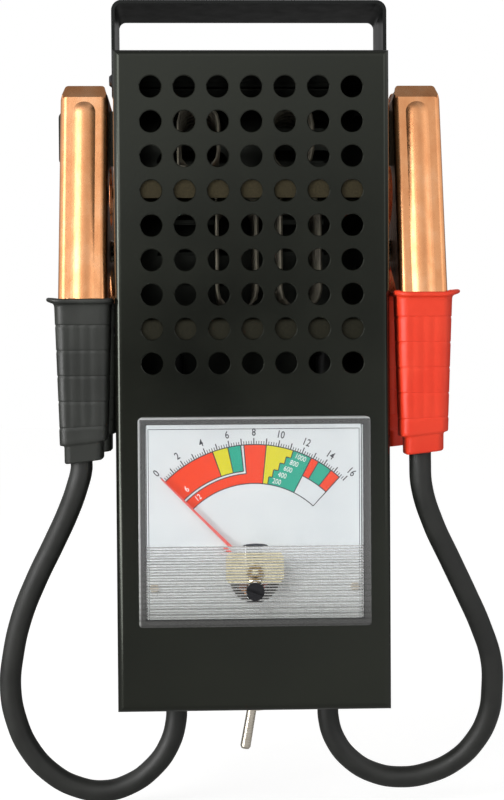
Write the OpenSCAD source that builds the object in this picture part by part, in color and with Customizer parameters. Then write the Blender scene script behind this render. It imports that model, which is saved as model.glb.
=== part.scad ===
// Hand-held battery load tester: a folded steel case with a carrying strap, a
// square panel meter, resistance-wire coils behind a perforated front, a toggle
// switch, and two heavy leads that end in spring clamps parked on side rests.
// Millimetres. The case hangs by its strap: the origin is the middle of the
// underside of the grip, +Z is up and the dial faces -Y.

/* [Case] */
// Width of the case
body_w = 115.2; // [112:0.2:124]
// Height of the case
body_h = 277; // [270:1:300]
// Depth of the case, front to back
body_d = 80; // [78:1:96]
// Thickness of the folded steel sheet
sheet_t = 1.0; // [0.8:0.1:1.4]
// Outside radius of the case's bends
bend_r = 3; // [2:0.5:4]
// Depth of the rim folded round the back cover
cover_rim = 10; // [8:1:14]

/* [Vents] */
// Diameter of a vent hole
vent_d = 9; // [6:0.5:11]
// Distance from row to row of holes
vent_pitch = 14.4; // [13.5:0.1:15]
// Distance from hole to hole along a row
vent_side_pitch = 14; // [13:0.1:14.5]
// Columns of vent holes
vent_cols = 7; // [5:2:7]
// Rows of vent holes
vent_rows = 9; // [8:1:9]
// Distance from the case's top down to the first row
vent_top = 15.4; // [13:0.1:18]
// Width of a louvre in the back cover
louvre_w = 34; // [24:1:40]
// Height of a louvre's hood out of the back cover
louvre_out = 2.6; // [1.5:0.1:3.5]

/* [Handle] */
// Clear height under the grip
grip_gap = 23.7; // [18:0.1:40]
// Width of the handle's strap, front to back
strap_w = 38; // [25:1:44]
// Thickness of the strap
strap_t = 1.5; // [1:0.1:3]
// Outside radius of the strap's corners
strap_r = 4.5; // [3.5:0.5:8]
// Length of the strap that lies on each side of the case
strap_leg = 16; // [14:0.5:17]

/* [Meter] */
// Width of the meter's clear cover
meter_w = 95.6; // [92:0.4:100]
// Height of the meter's clear cover
meter_h = 86.2; // [82:0.2:90]
// Height of the meter's lower edge above the case's bottom
meter_low = 38; // [34:0.2:42]
// Thickness of the meter's back flange
flange_t = 2.5; // [2:0.1:4]
// Distance the clear cover stands in front of the flange
cover_out = 9.5; // [9.5:0.1:12]
// Thickness of the clear cover's front
cover_t = 2; // [1.5:0.1:2]
// Thickness of the clear cover's sides
cover_wall = 3; // [2:0.1:3.4]
// Height of the ribbed lower part of the cover
rib_h = 31; // [20:1:34]
// Distance from rib to rib
rib_pitch = 1.16; // [0.9:0.02:2]
// Height of the pointer's pivot above the meter's lower edge
pivot_up = 22.3; // [20:0.1:24]
// Length of the pointer from its pivot to its tip
pointer_len = 54.5; // [45:0.5:58]
// Angle of the pointer at zero, left of upright
zero_angle = 45; // [40:1:48]
// Thickness of the dial plate
dial_t = 0.8; // [0.5:0.1:1]
// Depth of the meter's housing behind the panel
barrel_d = 28; // [26:1:34]

/* [Load] */
// Diameter of the resistance wire
wire_d = 1.6; // [1.2:0.1:2.2]
// Whole turns in each coil
coil_turns = 6; // [4:1:6]
// Distance from turn to turn
coil_pitch = 9.4; // [7:0.1:9.6]
// Radius of a coil's round ends, to the middle of the wire
coil_r = 8.5; // [7:0.1:9]
// Height of the loops above the upper bracket's rails
upper_loop = 28; // [24:0.5:29]
// Thickness of the brackets that hold the coils
bracket_t = 2; // [1.5:0.1:3]
// Height of the brackets' front and back lips
bracket_lip = 9.5; // [8:0.5:11]
// Height of the ceramic rails
rail_h = 4; // [3:0.5:5]

/* [Switch] */
// Diameter of the switch's bushing
bushing_d = 11.9; // [11:0.1:13]
// Length of the bushing below the case
bushing_len = 7.5; // [7:0.5:11]
// Diameter of the toggle lever at its end
lever_d = 4.6; // [4:0.1:5.4]
// Length of the lever from its pivot to its end
lever_len = 28; // [24:0.5:32]
// Lean of the lever to each side
lever_lean = 10; // [8:1:12]

/* [Clamps] */
// Distance from the case's side to the left clamp's middle
clamp_left_out = 13.6; // [13.6:0.1:22]
// Distance from the case's side to the right clamp's middle
clamp_right_out = 14.9; // [13.6:0.1:22]
// Width of a clamp's front jaw
jaw_w = 20.6; // [18:0.2:20.8]
// Thickness of the jaws' copper sheet
jaw_t = 1.2; // [0.8:0.1:1.5]
// Height of the jaws above the clamp's pivot
jaw_h = 71.2; // [68:0.2:78]
// Depth of a closed jaw's tip, from the bite to the outside
jaw_out = 14; // [12:0.5:16]
// Radius of the round gap that takes a battery post
post_r = 13; // [10:0.5:14]
// Radius of the clamp's pivot pin
pin_r = 3.5; // [3:0.1:4]
// Distance from the clamp's middle to the outside of a handle
handle_out = 37.5; // [34:0.5:40]
// Depth of a handle's channel
handle_d = 13; // [12:0.5:15]
// Width of a handle's channel inside its boot
handle_w = 15; // [13:0.2:15]
// Length of a handle below the boot's mouth
handle_len = 52; // [40:1:54]
// Diameter of the clamp's spring wire
spring_d = 1.8; // [1.2:0.1:2]
// Whole turns of the clamp's spring
spring_turns = 4; // [3:1:4]
// Angle that a clamp opens
open_angle = 25; // [15:1:25]

/* [Clamp rests] */
// Distance from the case's top down to a clamp rest
rest_down = 19.4; // [17.6:0.2:22]
// Height of a clamp rest
rest_h = 24; // [18:1:26]
// Thickness of a clamp rest
rest_t = 2; // [1.5:0.1:3]
// Reach of a clamp rest from the case's side
rest_out = 26; // [22:0.5:30]

/* [Boots and leads] */
// Width of a boot below its flange
boot_w = 23.3; // [22:0.1:26]
// Depth of a boot below its flange
boot_d = 20.5; // [19:0.1:23]
// Length of a boot
boot_len = 68.6; // [64:0.1:72]
// Distance the boot's flange stands out
boot_flange = 1.4; // [1:0.1:1.6]
// Distance that the right boots are pushed further up their handles
boot_up = 2.7; // [0:0.1:3]
// Distance between the rings moulded in a boot
boot_ring = 10.6; // [8:0.1:14]
// Diameter of a battery lead
lead_d = 9.4; // [8:0.1:9.6]
// Distance from the case's middle to each lead
lead_x = 34; // [28:0.5:38]

/* [Hidden] */

$fn = 48;
// Overshoot of a cutting solid past the face it cuts
past = 0.1;
// Gap left round a piece that is put in a larger one
slack = 0.3;
// Radial clearance of a pin that turns in its bore
run = 0.05;
// Radial clearance of a screw or rivet in its hole
bolt_gap = 0.1;

// Levels of the case, measured from the underside of the grip
z_top = -grip_gap;
z_low = z_top - body_h;
y_front = -body_d / 2;
y_back = body_d / 2;
x_side = body_w / 2;
function clamp_x(s) = s * (x_side + (s < 0 ? clamp_left_out : clamp_right_out));
function pushed_up(s) = s < 0 ? 0 : boot_up;

// Rows of vents, counted from the top, that the two coil brackets stand behind
function row_z(row) = z_top - vent_top - (row - 1) * vent_pitch;
upper_row = 4;
lower_row = 8;
z_upper = row_z(upper_row) + 6.6;
z_lower = row_z(lower_row) + 4.75;
bracket_gap = 0.4;
front_chamfer = 1.3 * bend_r;
rim_notch = bracket_t + sheet_t + bolt_gap + slack;
louvre_r = 9;
louvre_x = (body_w / 2 - 7) / 2;

// Coils: middles of the four coils and the levels of their loops
coil_spots = [["upper", -22], ["upper", 18], ["lower", -6], ["lower", 21]];
rail_w = 8;
notch_d = 1.2;
bush_r = 3.4;
bush_h = 3;
stud_r = 2;
bus_w = 6;
bus_t = 1.5;
bracket_screw_y = [-13, 0];
wire_sides = 6;
arc_steps = 7;
coil_run = (coil_turns + 9 / 16) * coil_pitch;
z_upper_loop = z_upper + rail_h - notch_d + wire_d / 2;
z_lower_loop = z_lower + rail_h - notch_d + wire_d / 2;
lower_loop_gap = 6;

// Screws and rivets
screw_r = 1.5;
screw_head_r = 3;
screw_head_h = 1.9;
rivet_r = 1.6;
rivet_head_r = 3.2;
rivet_head_h = 1.5;
shop_head_h = 1.2;
cover_screw_z = [z_low + 30, z_top - 87, z_top - 15];
cover_screw_len = 6 + sheet_t;
strap_rivet_y = 11;
rest_foot = 24;
rest_rivet_y = 16;
rest_rivet_rise = 0.8;
rest_rivet_up = [rest_h / 4, rest_h * 3 / 4];
rest_rivet_z = [for (up = rest_rivet_up) z_top - rest_down - rest_h + up];

// Meter: planes from front to back, and the movement round the pointer's axis
meter_mid = z_low + meter_low + meter_h / 2;
z_pivot = z_low + meter_low + pivot_up;
y_flange = y_front - flange_t;
y_dial = y_flange - dial_t;
y_lens = y_flange - cover_out;
barrel_in = 9;
barrel_w = meter_w - 2 * barrel_in;
dial_screw_in = 6;
barrel_edge = 2.4;
barrel_top = 11;
stud_in = 4;
stud_up_in = 6;
meter_stud_r = 1.5;
dial_gap = 0.2;
dial_hole_r = 10.4;
magnet_r = 14;
magnet_bore_r = 8.6;
magnet_len = 14;
core_r = 6;
y_magnet = y_front - 1;
coil_half = 7.7;
coil_wall = 1;
coil_tall = 5;
coil_over = 2;
axle_r = 0.5;
y_pointer = y_dial - 1.6;
hub_r = 2;
pointer_t = 0.8;
post_x = 9.4;
post_rod_r = 0.7;
bridge_t = 1.2;
bridge_w = 24;
bridge_h = 13;
bridge_up = 2.5;
y_bridge = y_lens + cover_t + 2.9;
jewel_r = 1.4;
jewel_bore = 1.2;
zero_head_r = 3.75;
zero_down = 7.9;
zero_throw = 1.2;
zero_pin_r = 0.5;
arm_t = 0.6;
z_zero = z_pivot - zero_down;
y_arm = y_bridge - bridge_t - 0.8;
y_jewel = y_bridge + 0.3;
y_back_yoke = y_front + barrel_d - 5;
y_back_jewel = y_back_yoke - 3;

// Switch: the toggle turns on a ball a little above the case's bottom
switch_w = 18;
switch_l = 30;
switch_h = 24;
switch_x = 1.5;
z_ball = z_low + sheet_t + 1;
ball_r = 3.2;
cross_pin_r = 0.9;
cross_pin_half = 4.6;
neck_r = 2;
lever_end_h = 1;
nut_h = 3;
nut_r = 8.4;

// Clamps: levels are measured from the pivot pin, distances out from the bite
bite = rest_t / 2;
open_bite = bite + slack;
bite_tip = 9.6;
jaw_r = 3;
jaw_deep = handle_out + handle_w;
nose = 4.4;
nose_in = 1.6;
nose_fall = 7;
nose_r = 1.6;
ear_gap = 0.5;
joggle = 2;
tooth_pitch = 3.6;
tooth_depth = 2.2;
teeth = 7;
rear_w = jaw_w - 2 * jaw_t - 0.8;
ear_r = 8.5;
post_z = 24.3;
bend_z = -26;
z_handle_in = -18.5;
handle_in = handle_out - handle_d;
handle_mid = handle_out - handle_d / 2;
z_handle_end = bend_z - handle_len;
tilt = atan((handle_out - jaw_out) / (jaw_h - bend_z));
rib_w = 9.8;
rib_out = 1.3;
rib_down = 8;
pin_head_r = 5;
pin_head_h = 1.3;
spring_r = pin_r + 0.5 + spring_d / 2;
spring_pitch = spring_d + 0.55;
spring_touch_z = -12;
z_pin = z_top - rest_down - (jaw_h - bite_tip);
z_teeth = jaw_h - 3;

// Boots, measured from the clamp's pivot pin
z_mouth = -22;
flange_h = 3.3;
neck_len = 8;
boot_taper_w = 3.4;
boot_taper_d = 3.5;
z_boot_end = z_mouth - boot_len;
z_neck = z_boot_end + neck_len;
groove = 0.35;
corner_steps = 4;
lead_fit = 0.1;
lead_side = -1.3;

// Leads: grommets in the case's bottom, and the two free routes of the leads
grommet_flange_r = 8;
grommet_neck_r = 6.4;
grommet_out = 3;
grommet_in = 2;
lead_sides = 10;
z_lead_exit = z_low - grommet_out;
lead_straight = 3;
function z_lead_boot(s) = z_pin + z_boot_end + pushed_up(s);
route_left = [
    [-34, 0, -313], [-37.6, 0, -325], [-45, 0, -334.8], [-54.5, 0, -341.4], [-66, -1, -344.2],
    [-78.5, -2, -341.8], [-89.3, -4, -335], [-98.4, -6, -324], [-103.8, -8, -311], [-106.1, -10, -296],
    [-104.3, -13, -280], [-100.3, -16, -264], [-93.3, -20, -247], [-85.3, -24, -231], [-78.6, -28, -217],
    [-74.4, -31, -206]
];
route_right = [
    [34, 0, -313], [37, 0, -323], [44, 0, -332], [54, 0, -338], [66, -1, -340],
    [78.6, -2, -338], [90.3, -4, -332], [98.8, -6, -323], [104.4, -8, -311], [105.7, -10, -299],
    [104.7, -13, -285], [99.7, -16, -270], [92.7, -20, -255], [84.8, -24, -239], [77, -28, -223],
    [71.8, -31, -207]
];

// Helpers: vectors, tubes and lofts

function unit(v) = v / norm(v);

// Direction of a path at point i, along the bisector of its two neighbours
function heading(path, i) =
    i == 0 ? unit(path[1] - path[0]) :
    i == len(path) - 1 ? unit(path[i] - path[i - 1]) :
    unit(unit(path[i + 1] - path[i]) + unit(path[i] - path[i - 1]));

// Points of a ring of the tube round path point i, with one side kept towards ref
function ring(path, i, r, sides, ref) =
    let (t = heading(path, i), n = unit(ref - (ref * t) * t), b = cross(t, n))
    [for (k = [0:sides - 1]) path[i] + r * (cos(360 * k / sides) * n + sin(360 * k / sides) * b)];

// Faces of a skin over a stack of rings, as triangles
function skin(rings, sides) = concat(
    [for (i = [0:rings - 2], k = [0:sides - 1])
        let (a = i * sides + k, b = i * sides + (k + 1) % sides) [a, a + sides, b + sides]],
    [for (i = [0:rings - 2], k = [0:sides - 1])
        let (a = i * sides + k, b = i * sides + (k + 1) % sides) [a, b + sides, b]],
    [for (k = [1:sides - 2]) [0, k, k + 1]],
    [for (k = [1:sides - 2]) let (e = (rings - 1) * sides) [e, e + k + 1, e + k]]
);

// Round tube swept along a path, closed at both ends
module tube(path, d, sides, ref) {
    points = [for (i = [0:len(path) - 1]) each ring(path, i, d / 2, sides, ref)];
    polyhedron(points = points, faces = skin(len(path), sides));
}

// Least clear distance from a wound wire to itself, between points a half turn apart or more
function self_gap(path, d, per_turn) = min([
    for (i = [0:len(path) - 1], j = [i + ceil(per_turn / 2):1:len(path) - 1])
        norm(path[i] - path[j])]) - d;

// Outline of a plate whose two corners at y = 0 are rounded
module bent_edge(w, d, r) {
    translate([-w / 2, r]) square([w, d - r]);
    translate([-w / 2 + r, 0]) square([w - 2 * r, r + past]);
    for (s = [-1, 1]) translate([s * (w / 2 - r), r]) circle(r);
}

// Block with its front face at y = 0 and bent front edges, standing on z = 0
module bent_block(w, d, h, r) {
    intersection() {
        linear_extrude(h) bent_edge(w, d, r);
        translate([-w / 2, 0, h / 2]) rotate([90, 0, 90]) linear_extrude(w)
            rotate(-90) bent_edge(h, d, r);
    }
}

// Folded tray: a front and four walls of sheet t, open at the back
module tray(w, d, h, r, t) {
    difference() {
        bent_block(w, d, h, r);
        translate([0, t, t]) bent_block(w - 2 * t, d, h - 2 * t, max(r - t, 0.2));
    }
}

// Cylinder along +Y that starts at the origin
module rod_y(r, h) {
    rotate([-90, 0, 0]) cylinder(r = r, h = h);
}

// Domed rivet along +X: head outside x = 0, shank and shop head inside
module rivet_x(grip, head = rivet_head_r, rise = rivet_head_h) {
    rotate([0, 90, 0]) {
        cylinder(r1 = head, r2 = head - 0.8 * rise, h = rise);
        translate([0, 0, -grip - past]) cylinder(r = rivet_r, h = grip + 2 * past);
        translate([0, 0, -grip - shop_head_h]) cylinder(r = rivet_r + 1, h = shop_head_h);
    }
}

// Pan-head screw along +X: head outside x = 0, shank inside, cross recess in the head
module screw_x(length) {
    rotate([0, 90, 0]) difference() {
        union() {
            cylinder(r1 = screw_head_r, r2 = screw_head_r - 0.8, h = screw_head_h);
            translate([0, 0, -length]) cylinder(r = screw_r, h = length + past);
        }
        for (a = [0, 90]) rotate(a) translate([-1.6, -0.4, screw_head_h - 0.9])
            cube([3.2, 0.8, 1]);
    }
}

// Case

// Holes for screws, rivets and bracket fixings through both side walls
module side_holes(depth) {
    for (s = [-1, 1]) {
        for (z = cover_screw_z) side_hole(s, y_back - cover_rim / 2, z, screw_r, depth);
        for (z = [z_upper, z_lower], y = bracket_screw_y)
            side_hole(s, y, z - bracket_lip / 2, screw_r, depth);
        for (y = [-strap_rivet_y, strap_rivet_y])
            side_hole(s, y, z_top - strap_leg / 2, rivet_r, depth);
        for (z = rest_rivet_z) side_hole(s, rest_rivet_y, z, rivet_r, depth);
    }
}

module side_hole(s, y, z, r, depth) {
    translate([s * x_side, y, z]) rotate([0, 90, 0])
        cylinder(r = r + bolt_gap, h = 2 * depth, center = true);
}

// Perforation of the front: holes with a softened rim
module vents() {
    rim = 0.35;
    for (c = [0:vent_cols - 1], r = [1:vent_rows])
        translate([(c - (vent_cols - 1) / 2) * vent_side_pitch, y_front, row_z(r)]) rotate([-90, 0, 0]) {
            translate([0, 0, -past]) cylinder(d = vent_d, h = sheet_t + 2 * past);
            translate([0, 0, -past]) cylinder(d1 = vent_d + 2 * (rim + past), d2 = vent_d, h = rim + past);
        }
}

module front_shell() {
    color("#26261f") difference() {
        translate([0, y_front, z_low]) tray(body_w, body_d, body_h, bend_r, sheet_t);
        vents();
        translate([-barrel_w / 2 - slack, y_front - past, z_low + meter_low + barrel_edge - slack])
            cube([barrel_w + 2 * slack, sheet_t + 2 * past,
                meter_h - barrel_top - barrel_edge + 2 * slack]);
        meter_studs(y_front - past, sheet_t + 2 * past, meter_stud_r + bolt_gap);
        for (s = [-1, 1]) translate([s * lead_x, 0, z_low - past])
            cylinder(r = grommet_neck_r + bolt_gap, h = sheet_t + 2 * past);
        translate([switch_x, 0, z_low - past]) cylinder(d = bushing_d + 0.3, h = sheet_t + 2 * past);
        side_holes(sheet_t + past);
    }
}

// One louvre: a hood pressed out of the sheet, open at its lower edge
module louvre(grow) {
    r = louvre_r + grow;
    inset = louvre_r - louvre_out;
    reach = louvre_w / 2 - sqrt(louvre_r * louvre_r - inset * inset);
    intersection() {
        translate([0, -inset, 0]) {
            rotate([0, 90, 0]) cylinder(r = r, h = 2 * reach, center = true);
            for (s = [-1, 1]) translate([s * reach, 0, 0]) sphere(r);
        }
        translate([-louvre_w, -2 * sheet_t, 0]) cube([2 * louvre_w, 2 * louvre_r, 2 * louvre_r]);
    }
}

module louvre_places() {
    for (s = [-1, 1], r = [1:vent_rows - 1])
        translate([s * louvre_x, y_back, row_z(r) - vent_pitch / 2]) children();
}

module back_cover() {
    w = body_w - 2 * sheet_t - 2 * bolt_gap;
    h = body_h - 2 * sheet_t - 2 * bolt_gap;
    color("#26261f") difference() {
        union() {
            translate([0, y_back, z_low + sheet_t + bolt_gap]) mirror([0, 1, 0])
                tray(w, cover_rim, h, 1.6, sheet_t);
            intersection() {
                louvre_places() louvre(0);
                translate([-w / 2, y_back - sheet_t / 2, z_low]) cube([w, 2 * louvre_r, body_h]);
            }
        }
        louvre_places() louvre(-sheet_t);
        for (s = [-1, 1], z = cover_screw_z)
            side_hole(s, y_back - cover_rim / 2, z, screw_r, 3 * sheet_t);
    }
}

module cover_screws() {
    color("#3c3c38") for (s = [-1, 1], z = cover_screw_z)
        translate([s * x_side, y_back - cover_rim / 2, z])
            rotate([0, 0, s > 0 ? 0 : 180]) screw_x(cover_screw_len);
}

// Handle: one flat strap, bent down over both sides and riveted

module strap_outline(w, h, r) {
    translate([-w / 2, 0]) square([w, h - r]);
    translate([-w / 2 + r, 0]) square([w - 2 * r, h]);
    for (s = [-1, 1]) translate([s * (w / 2 - r), h - r]) circle(r);
}

module carry_handle() {
    rise = strap_leg + grip_gap + strap_t;
    w = body_w + 2 * strap_t;
    color("#2c2c28") difference() {
        translate([0, strap_w / 2, z_top - strap_leg]) rotate([90, 0, 0])
            linear_extrude(strap_w) difference() {
                strap_outline(w, rise, strap_r);
                translate([0, -past]) strap_outline(body_w, rise - strap_t + past, strap_r - strap_t);
            }
        for (s = [-1, 1], y = [-strap_rivet_y, strap_rivet_y])
            side_hole(s, y, z_top - strap_leg / 2, rivet_r, strap_t + past);
    }
}

module handle_rivets() {
    color("#3c3c38") for (s = [-1, 1], y = [-strap_rivet_y, strap_rivet_y])
        translate([s * (x_side + strap_t), y, z_top - strap_leg / 2])
            rotate([0, 0, s > 0 ? 0 : 180]) rivet_x(strap_t + sheet_t);
}

// Clamp rests: an angle of sheet on each side, which the jaws bite

module clamp_rest(s) {
    corner = 3;
    color("#26261f") mirror([s > 0 ? 0 : 1, 0, 0]) translate([x_side, 0, z_top - rest_down - rest_h])
        difference() {
            union() {
                translate([0, -rest_t / 2, 0]) cube([rest_t, rest_foot + rest_t / 2, rest_h]);
                translate([0, rest_t / 2, 0]) rotate([90, 0, 0]) linear_extrude(rest_t) {
                    square([rest_out - corner, rest_h]);
                    translate([0, corner]) square([rest_out, rest_h - 2 * corner]);
                    for (z = [corner, rest_h - corner]) translate([rest_out - corner, z]) circle(corner);
                }
            }
            for (z = rest_rivet_up) translate([-past, rest_rivet_y, z]) rotate([0, 90, 0])
                cylinder(r = rivet_r + bolt_gap, h = rest_t + 2 * past);
        }
}

module clamp_rest_left() { clamp_rest(-1); }
module clamp_rest_right() { clamp_rest(1); }

module rest_rivets() {
    color("#3c3c38") for (s = [-1, 1], z = rest_rivet_z)
        translate([s * (x_side + rest_t), rest_rivet_y, z]) rotate([0, 0, s > 0 ? 0 : 180])
            rivet_x(rest_t + sheet_t, 2.8, rest_rivet_rise);
}

// Load: two moulded brackets, ceramic rails, and coils of resistance wire

module bracket(z) {
    w = body_w - 2 * sheet_t;
    d = body_d - 2 * sheet_t - 2 * bracket_gap;
    color("#8d826c") difference() {
        translate([0, -d / 2, z]) rotate([-90, 0, 0])
            tray(w, bracket_lip, d, bracket_t + 0.5, bracket_t);
        for (s = [-1, 1], y = bracket_screw_y) side_hole(s, y, z - bracket_lip / 2, screw_r, 10);
        for (s = [-1, 1]) translate([s * w / 2, -d / 2, z]) rotate([0, 0, 45])
            cube([front_chamfer, front_chamfer, 3 * bracket_lip], center = true);
        for (s = [-1, 1]) translate([s * w / 2, y_back, z])
            cube([2 * rim_notch, 2 * (cover_rim + slack), 3 * bracket_lip], center = true);
        children();
    }
}

module upper_bracket() {
    bracket(z_upper) for (c = coil_spots, e = [-1, 1]) if (c[0] == "lower")
        translate([c[1] + e * coil_r, e * coil_run / 2, z_upper - bracket_t - past])
            cylinder(r = stud_r + bolt_gap, h = bracket_t + 2 * past);
}

module lower_bracket() {
    bracket(z_lower) for (s = [-1, 1]) translate([s * lead_x, 0, z_lower - bracket_t - past])
        cylinder(r = stud_r + bolt_gap, h = bracket_t + 2 * past);
}

module bracket_screws() {
    color("#3c3c38") for (s = [-1, 1], z = [z_upper, z_lower], y = bracket_screw_y)
        translate([s * x_side, y, z - bracket_lip / 2]) rotate([0, 0, s > 0 ? 0 : 180])
            screw_x(sheet_t + bracket_t + 2);
}

// A rail is notched where each turn of its coil lies, at the slant of the wire
module rail(x, z, length, first, count, slant) {
    translate([x, 0, z]) difference() {
        translate([-rail_w / 2, -length / 2, 0]) cube([rail_w, length, rail_h]);
        for (i = [0:count - 1])
            translate([0, -coil_run / 2 + (i + first) * coil_pitch, rail_h - notch_d])
                rotate([0, 0, slant]) translate([-rail_w, -wire_d / 2 - slack, 0])
                    cube([2 * rail_w, wire_d + 2 * slack, 2 * notch_d]);
    }
}

module ceramic_rails() {
    slant = atan(coil_pitch * arc_steps / (16 * PI * coil_r));
    color("#d8d2c2") for (c = coil_spots)
        if (c[0] == "upper") rail(c[1], z_upper, coil_run - bus_w - 1, 12.5 / 16, coil_turns, -slant);
        else rail(c[1], z_lower, coil_run + 2, 4.5 / 16, coil_turns + 1, slant);
}

// Ring k of a coil: up one leg, over the far end, down the other leg and round the near end
function coil_point(k, near, far) =
    let (step = k % 16, a = 180 / arc_steps)
    step == 0 ? [-coil_r, near] :
    step < 9 ? [-coil_r * cos((step - 1) * a), far + sign(far - near) * coil_r * sin((step - 1) * a)] :
    [coil_r * cos((step - 9) * a), near - sign(far - near) * coil_r * sin((step - 9) * a)];

// Path of a coil that starts and ends at level z_end and loops between two levels
function coil_path(x, z_end, z_near, z_far) =
    let (s = sign(z_far - z_near), near = z_near + s * coil_r, far = z_far - s * coil_r,
        last = 16 * coil_turns + 9)
    concat(
        [[x - coil_r, -coil_run / 2, z_end]],
        [for (k = [0:last]) let (p = coil_point(k, near, far))
            [x + p[0], -coil_run / 2 + coil_run * k / last, p[1]]],
        [[x + coil_r, coil_run / 2, z_end]]
    );

function upper_path(x) = coil_path(x, z_upper + bus_t, z_upper_loop, z_upper_loop + upper_loop);
function lower_path(x) = coil_path(x, z_upper - bracket_t,
    z_upper - bracket_t - lower_loop_gap, z_lower_loop);

module coil(i) {
    x = coil_spots[i][1];
    path = coil_spots[i][0] == "upper" ? upper_path(x) : lower_path(x);
    color("#b9b4a8") tube(path, wire_d, wire_sides, [0, 1, 0]);
    echo(coil = i, least_gap = self_gap(path, wire_d, 16));
}

module coil_upper_left() { coil(0); }
module coil_upper_right() { coil(1); }
module coil_lower_left() { coil(2); }
module coil_lower_right() { coil(3); }

// Ceramic rings round the ends of the coils
module bush_ring(z) {
    translate([0, 0, z]) difference() {
        cylinder(r = bush_r, h = bush_h);
        translate([0, 0, -past]) cylinder(r = wire_d / 2 + slack, h = bush_h + 2 * past);
    }
}

module ceramic_bushes() {
    color("#d8d2c2") for (c = coil_spots, e = [-1, 1])
        translate([c[1] + e * coil_r, e * coil_run / 2, 0])
            bush_ring(c[0] == "upper" ? z_upper + bus_t : z_upper - bracket_t - bush_h);
}

// Copper bars that join the near ends and the far ends of all the coils, with their studs
module bus_links() {
    bar_end = 5;
    lowest = min([for (c = coil_spots) c[1]]);
    highest = max([for (c = coil_spots) c[1]]);
    color("#b4703c") for (e = [-1, 1]) {
        translate([lowest + e * coil_r - bar_end, e * coil_run / 2 - bus_w / 2, z_upper])
            cube([highest - lowest + 2 * bar_end, bus_w, bus_t]);
        for (c = coil_spots) if (c[0] == "lower")
            translate([c[1] + e * coil_r, e * coil_run / 2, z_upper - bracket_t])
                cylinder(r = stud_r, h = bracket_t + bus_t / 2);
    }
}

// Toggle switch in the case's bottom

module switch_body() {
    color("#1d1d1d") translate([switch_x - switch_l / 2, -switch_w / 2, z_low + sheet_t]) difference() {
        cube([switch_l, switch_w, switch_h]);
        translate([switch_l / 2, switch_w / 2, -past]) cylinder(r = ball_r + run, h = 6);
        translate([switch_l / 2, switch_w / 2 - cross_pin_half - slack, z_ball - z_low - sheet_t])
            rod_y(cross_pin_r + run, 2 * (cross_pin_half + slack));
    }
    color("#b8b4a6") difference() {
        translate([switch_x, 0, z_low - bushing_len])
            cylinder(d = bushing_d, h = bushing_len + sheet_t + past);
        translate([switch_x, 0, z_low - bushing_len - past])
            cylinder(r1 = bushing_d / 2 - 1, r2 = ball_r + run, h = bushing_len + sheet_t + 3 * past);
    }
}

module switch_nuts() {
    color("#b8b4a6") translate([switch_x, 0, 0]) difference() {
        union() {
            translate([0, 0, z_low - 0.8]) cylinder(r = nut_r + 0.4, h = 0.8);
            translate([0, 0, z_low - 0.8 - nut_h]) cylinder(r = nut_r, h = nut_h, $fn = 6);
        }
        translate([0, 0, z_low - nut_h - 1]) cylinder(d = bushing_d + 0.1, h = nut_h + 2);
    }
}

module switch_terminals() {
    blade = [6, 0.8, 9];
    color("#c6a557") for (x = [-10, 0, 10])
        translate([switch_x + x - blade[0] / 2, -blade[1] / 2, z_low + sheet_t + switch_h])
            difference() {
            cube(blade);
            translate([blade[0] / 2, -past, blade[2] - 3]) rod_y(1, 1);
        }
}

module toggle_lever() {
    color("#b8b4a6") translate([switch_x, 0, z_ball]) {
        sphere(ball_r);
        translate([0, -cross_pin_half, 0]) rod_y(cross_pin_r, 2 * cross_pin_half);
        rotate([0, 180 + lever_lean, 0]) {
            cylinder(r1 = neck_r, r2 = lever_d / 2, h = lever_len - lever_end_h);
            translate([0, 0, lever_len - lever_end_h])
                cylinder(r1 = lever_d / 2, r2 = lever_d / 2 - 0.6, h = lever_end_h);
        }
    }
}

// Meter

// Plate in the plane of the dial, with rounded corners, its back at y = 0
module face_plate(w, h, t, r) {
    rotate([90, 0, 0]) linear_extrude(t) {
        square([w - 2 * r, h], center = true);
        square([w, h - 2 * r], center = true);
        for (x = [-1, 1], z = [-1, 1]) translate([x * (w / 2 - r), z * (h / 2 - r)]) circle(r);
    }
}

module meter_studs(y, length, r) {
    for (s = [-1, 1], up = [stud_up_in, meter_h - stud_up_in])
        translate([s * (meter_w / 2 - stud_in), y, z_low + meter_low + up]) rod_y(r, length);
}

module meter_base() {
    wall = 2;
    box_h = meter_h - barrel_top - barrel_edge;
    color("#26262a") difference() {
        union() {
            translate([0, y_front, meter_mid]) face_plate(meter_w, meter_h, flange_t, 1.5);
            translate([-barrel_w / 2, y_front - past, z_low + meter_low + barrel_edge])
                cube([barrel_w, barrel_d + past, box_h]);
            meter_studs(y_front - past, 9, meter_stud_r);
        }
        translate([-barrel_w / 2 + wall, y_flange - past, z_low + meter_low + barrel_edge + wall])
            cube([barrel_w - 2 * wall, barrel_d + flange_t - wall + past, box_h - 2 * wall]);
        dial_screw_places() translate([0, -past, 0]) rod_y(1, flange_t);
    }
}

// Clear cover: plain above, ribbed inside its lower part
module meter_lens() {
    color("#dfe6ea", 0.4) difference() {
        union() {
            difference() {
                translate([0, y_flange, meter_mid]) face_plate(meter_w, meter_h, cover_out, 1.5);
                translate([0, y_flange + past, meter_mid])
                    face_plate(meter_w - 2 * cover_wall, meter_h - 2 * cover_wall,
                        cover_out - cover_t + past, 0.6);
            }
            lens_ribs();
        }
        translate([0, y_lens - past, z_zero]) rod_y(zero_head_r + run, cover_t + 4);
    }
}

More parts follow.
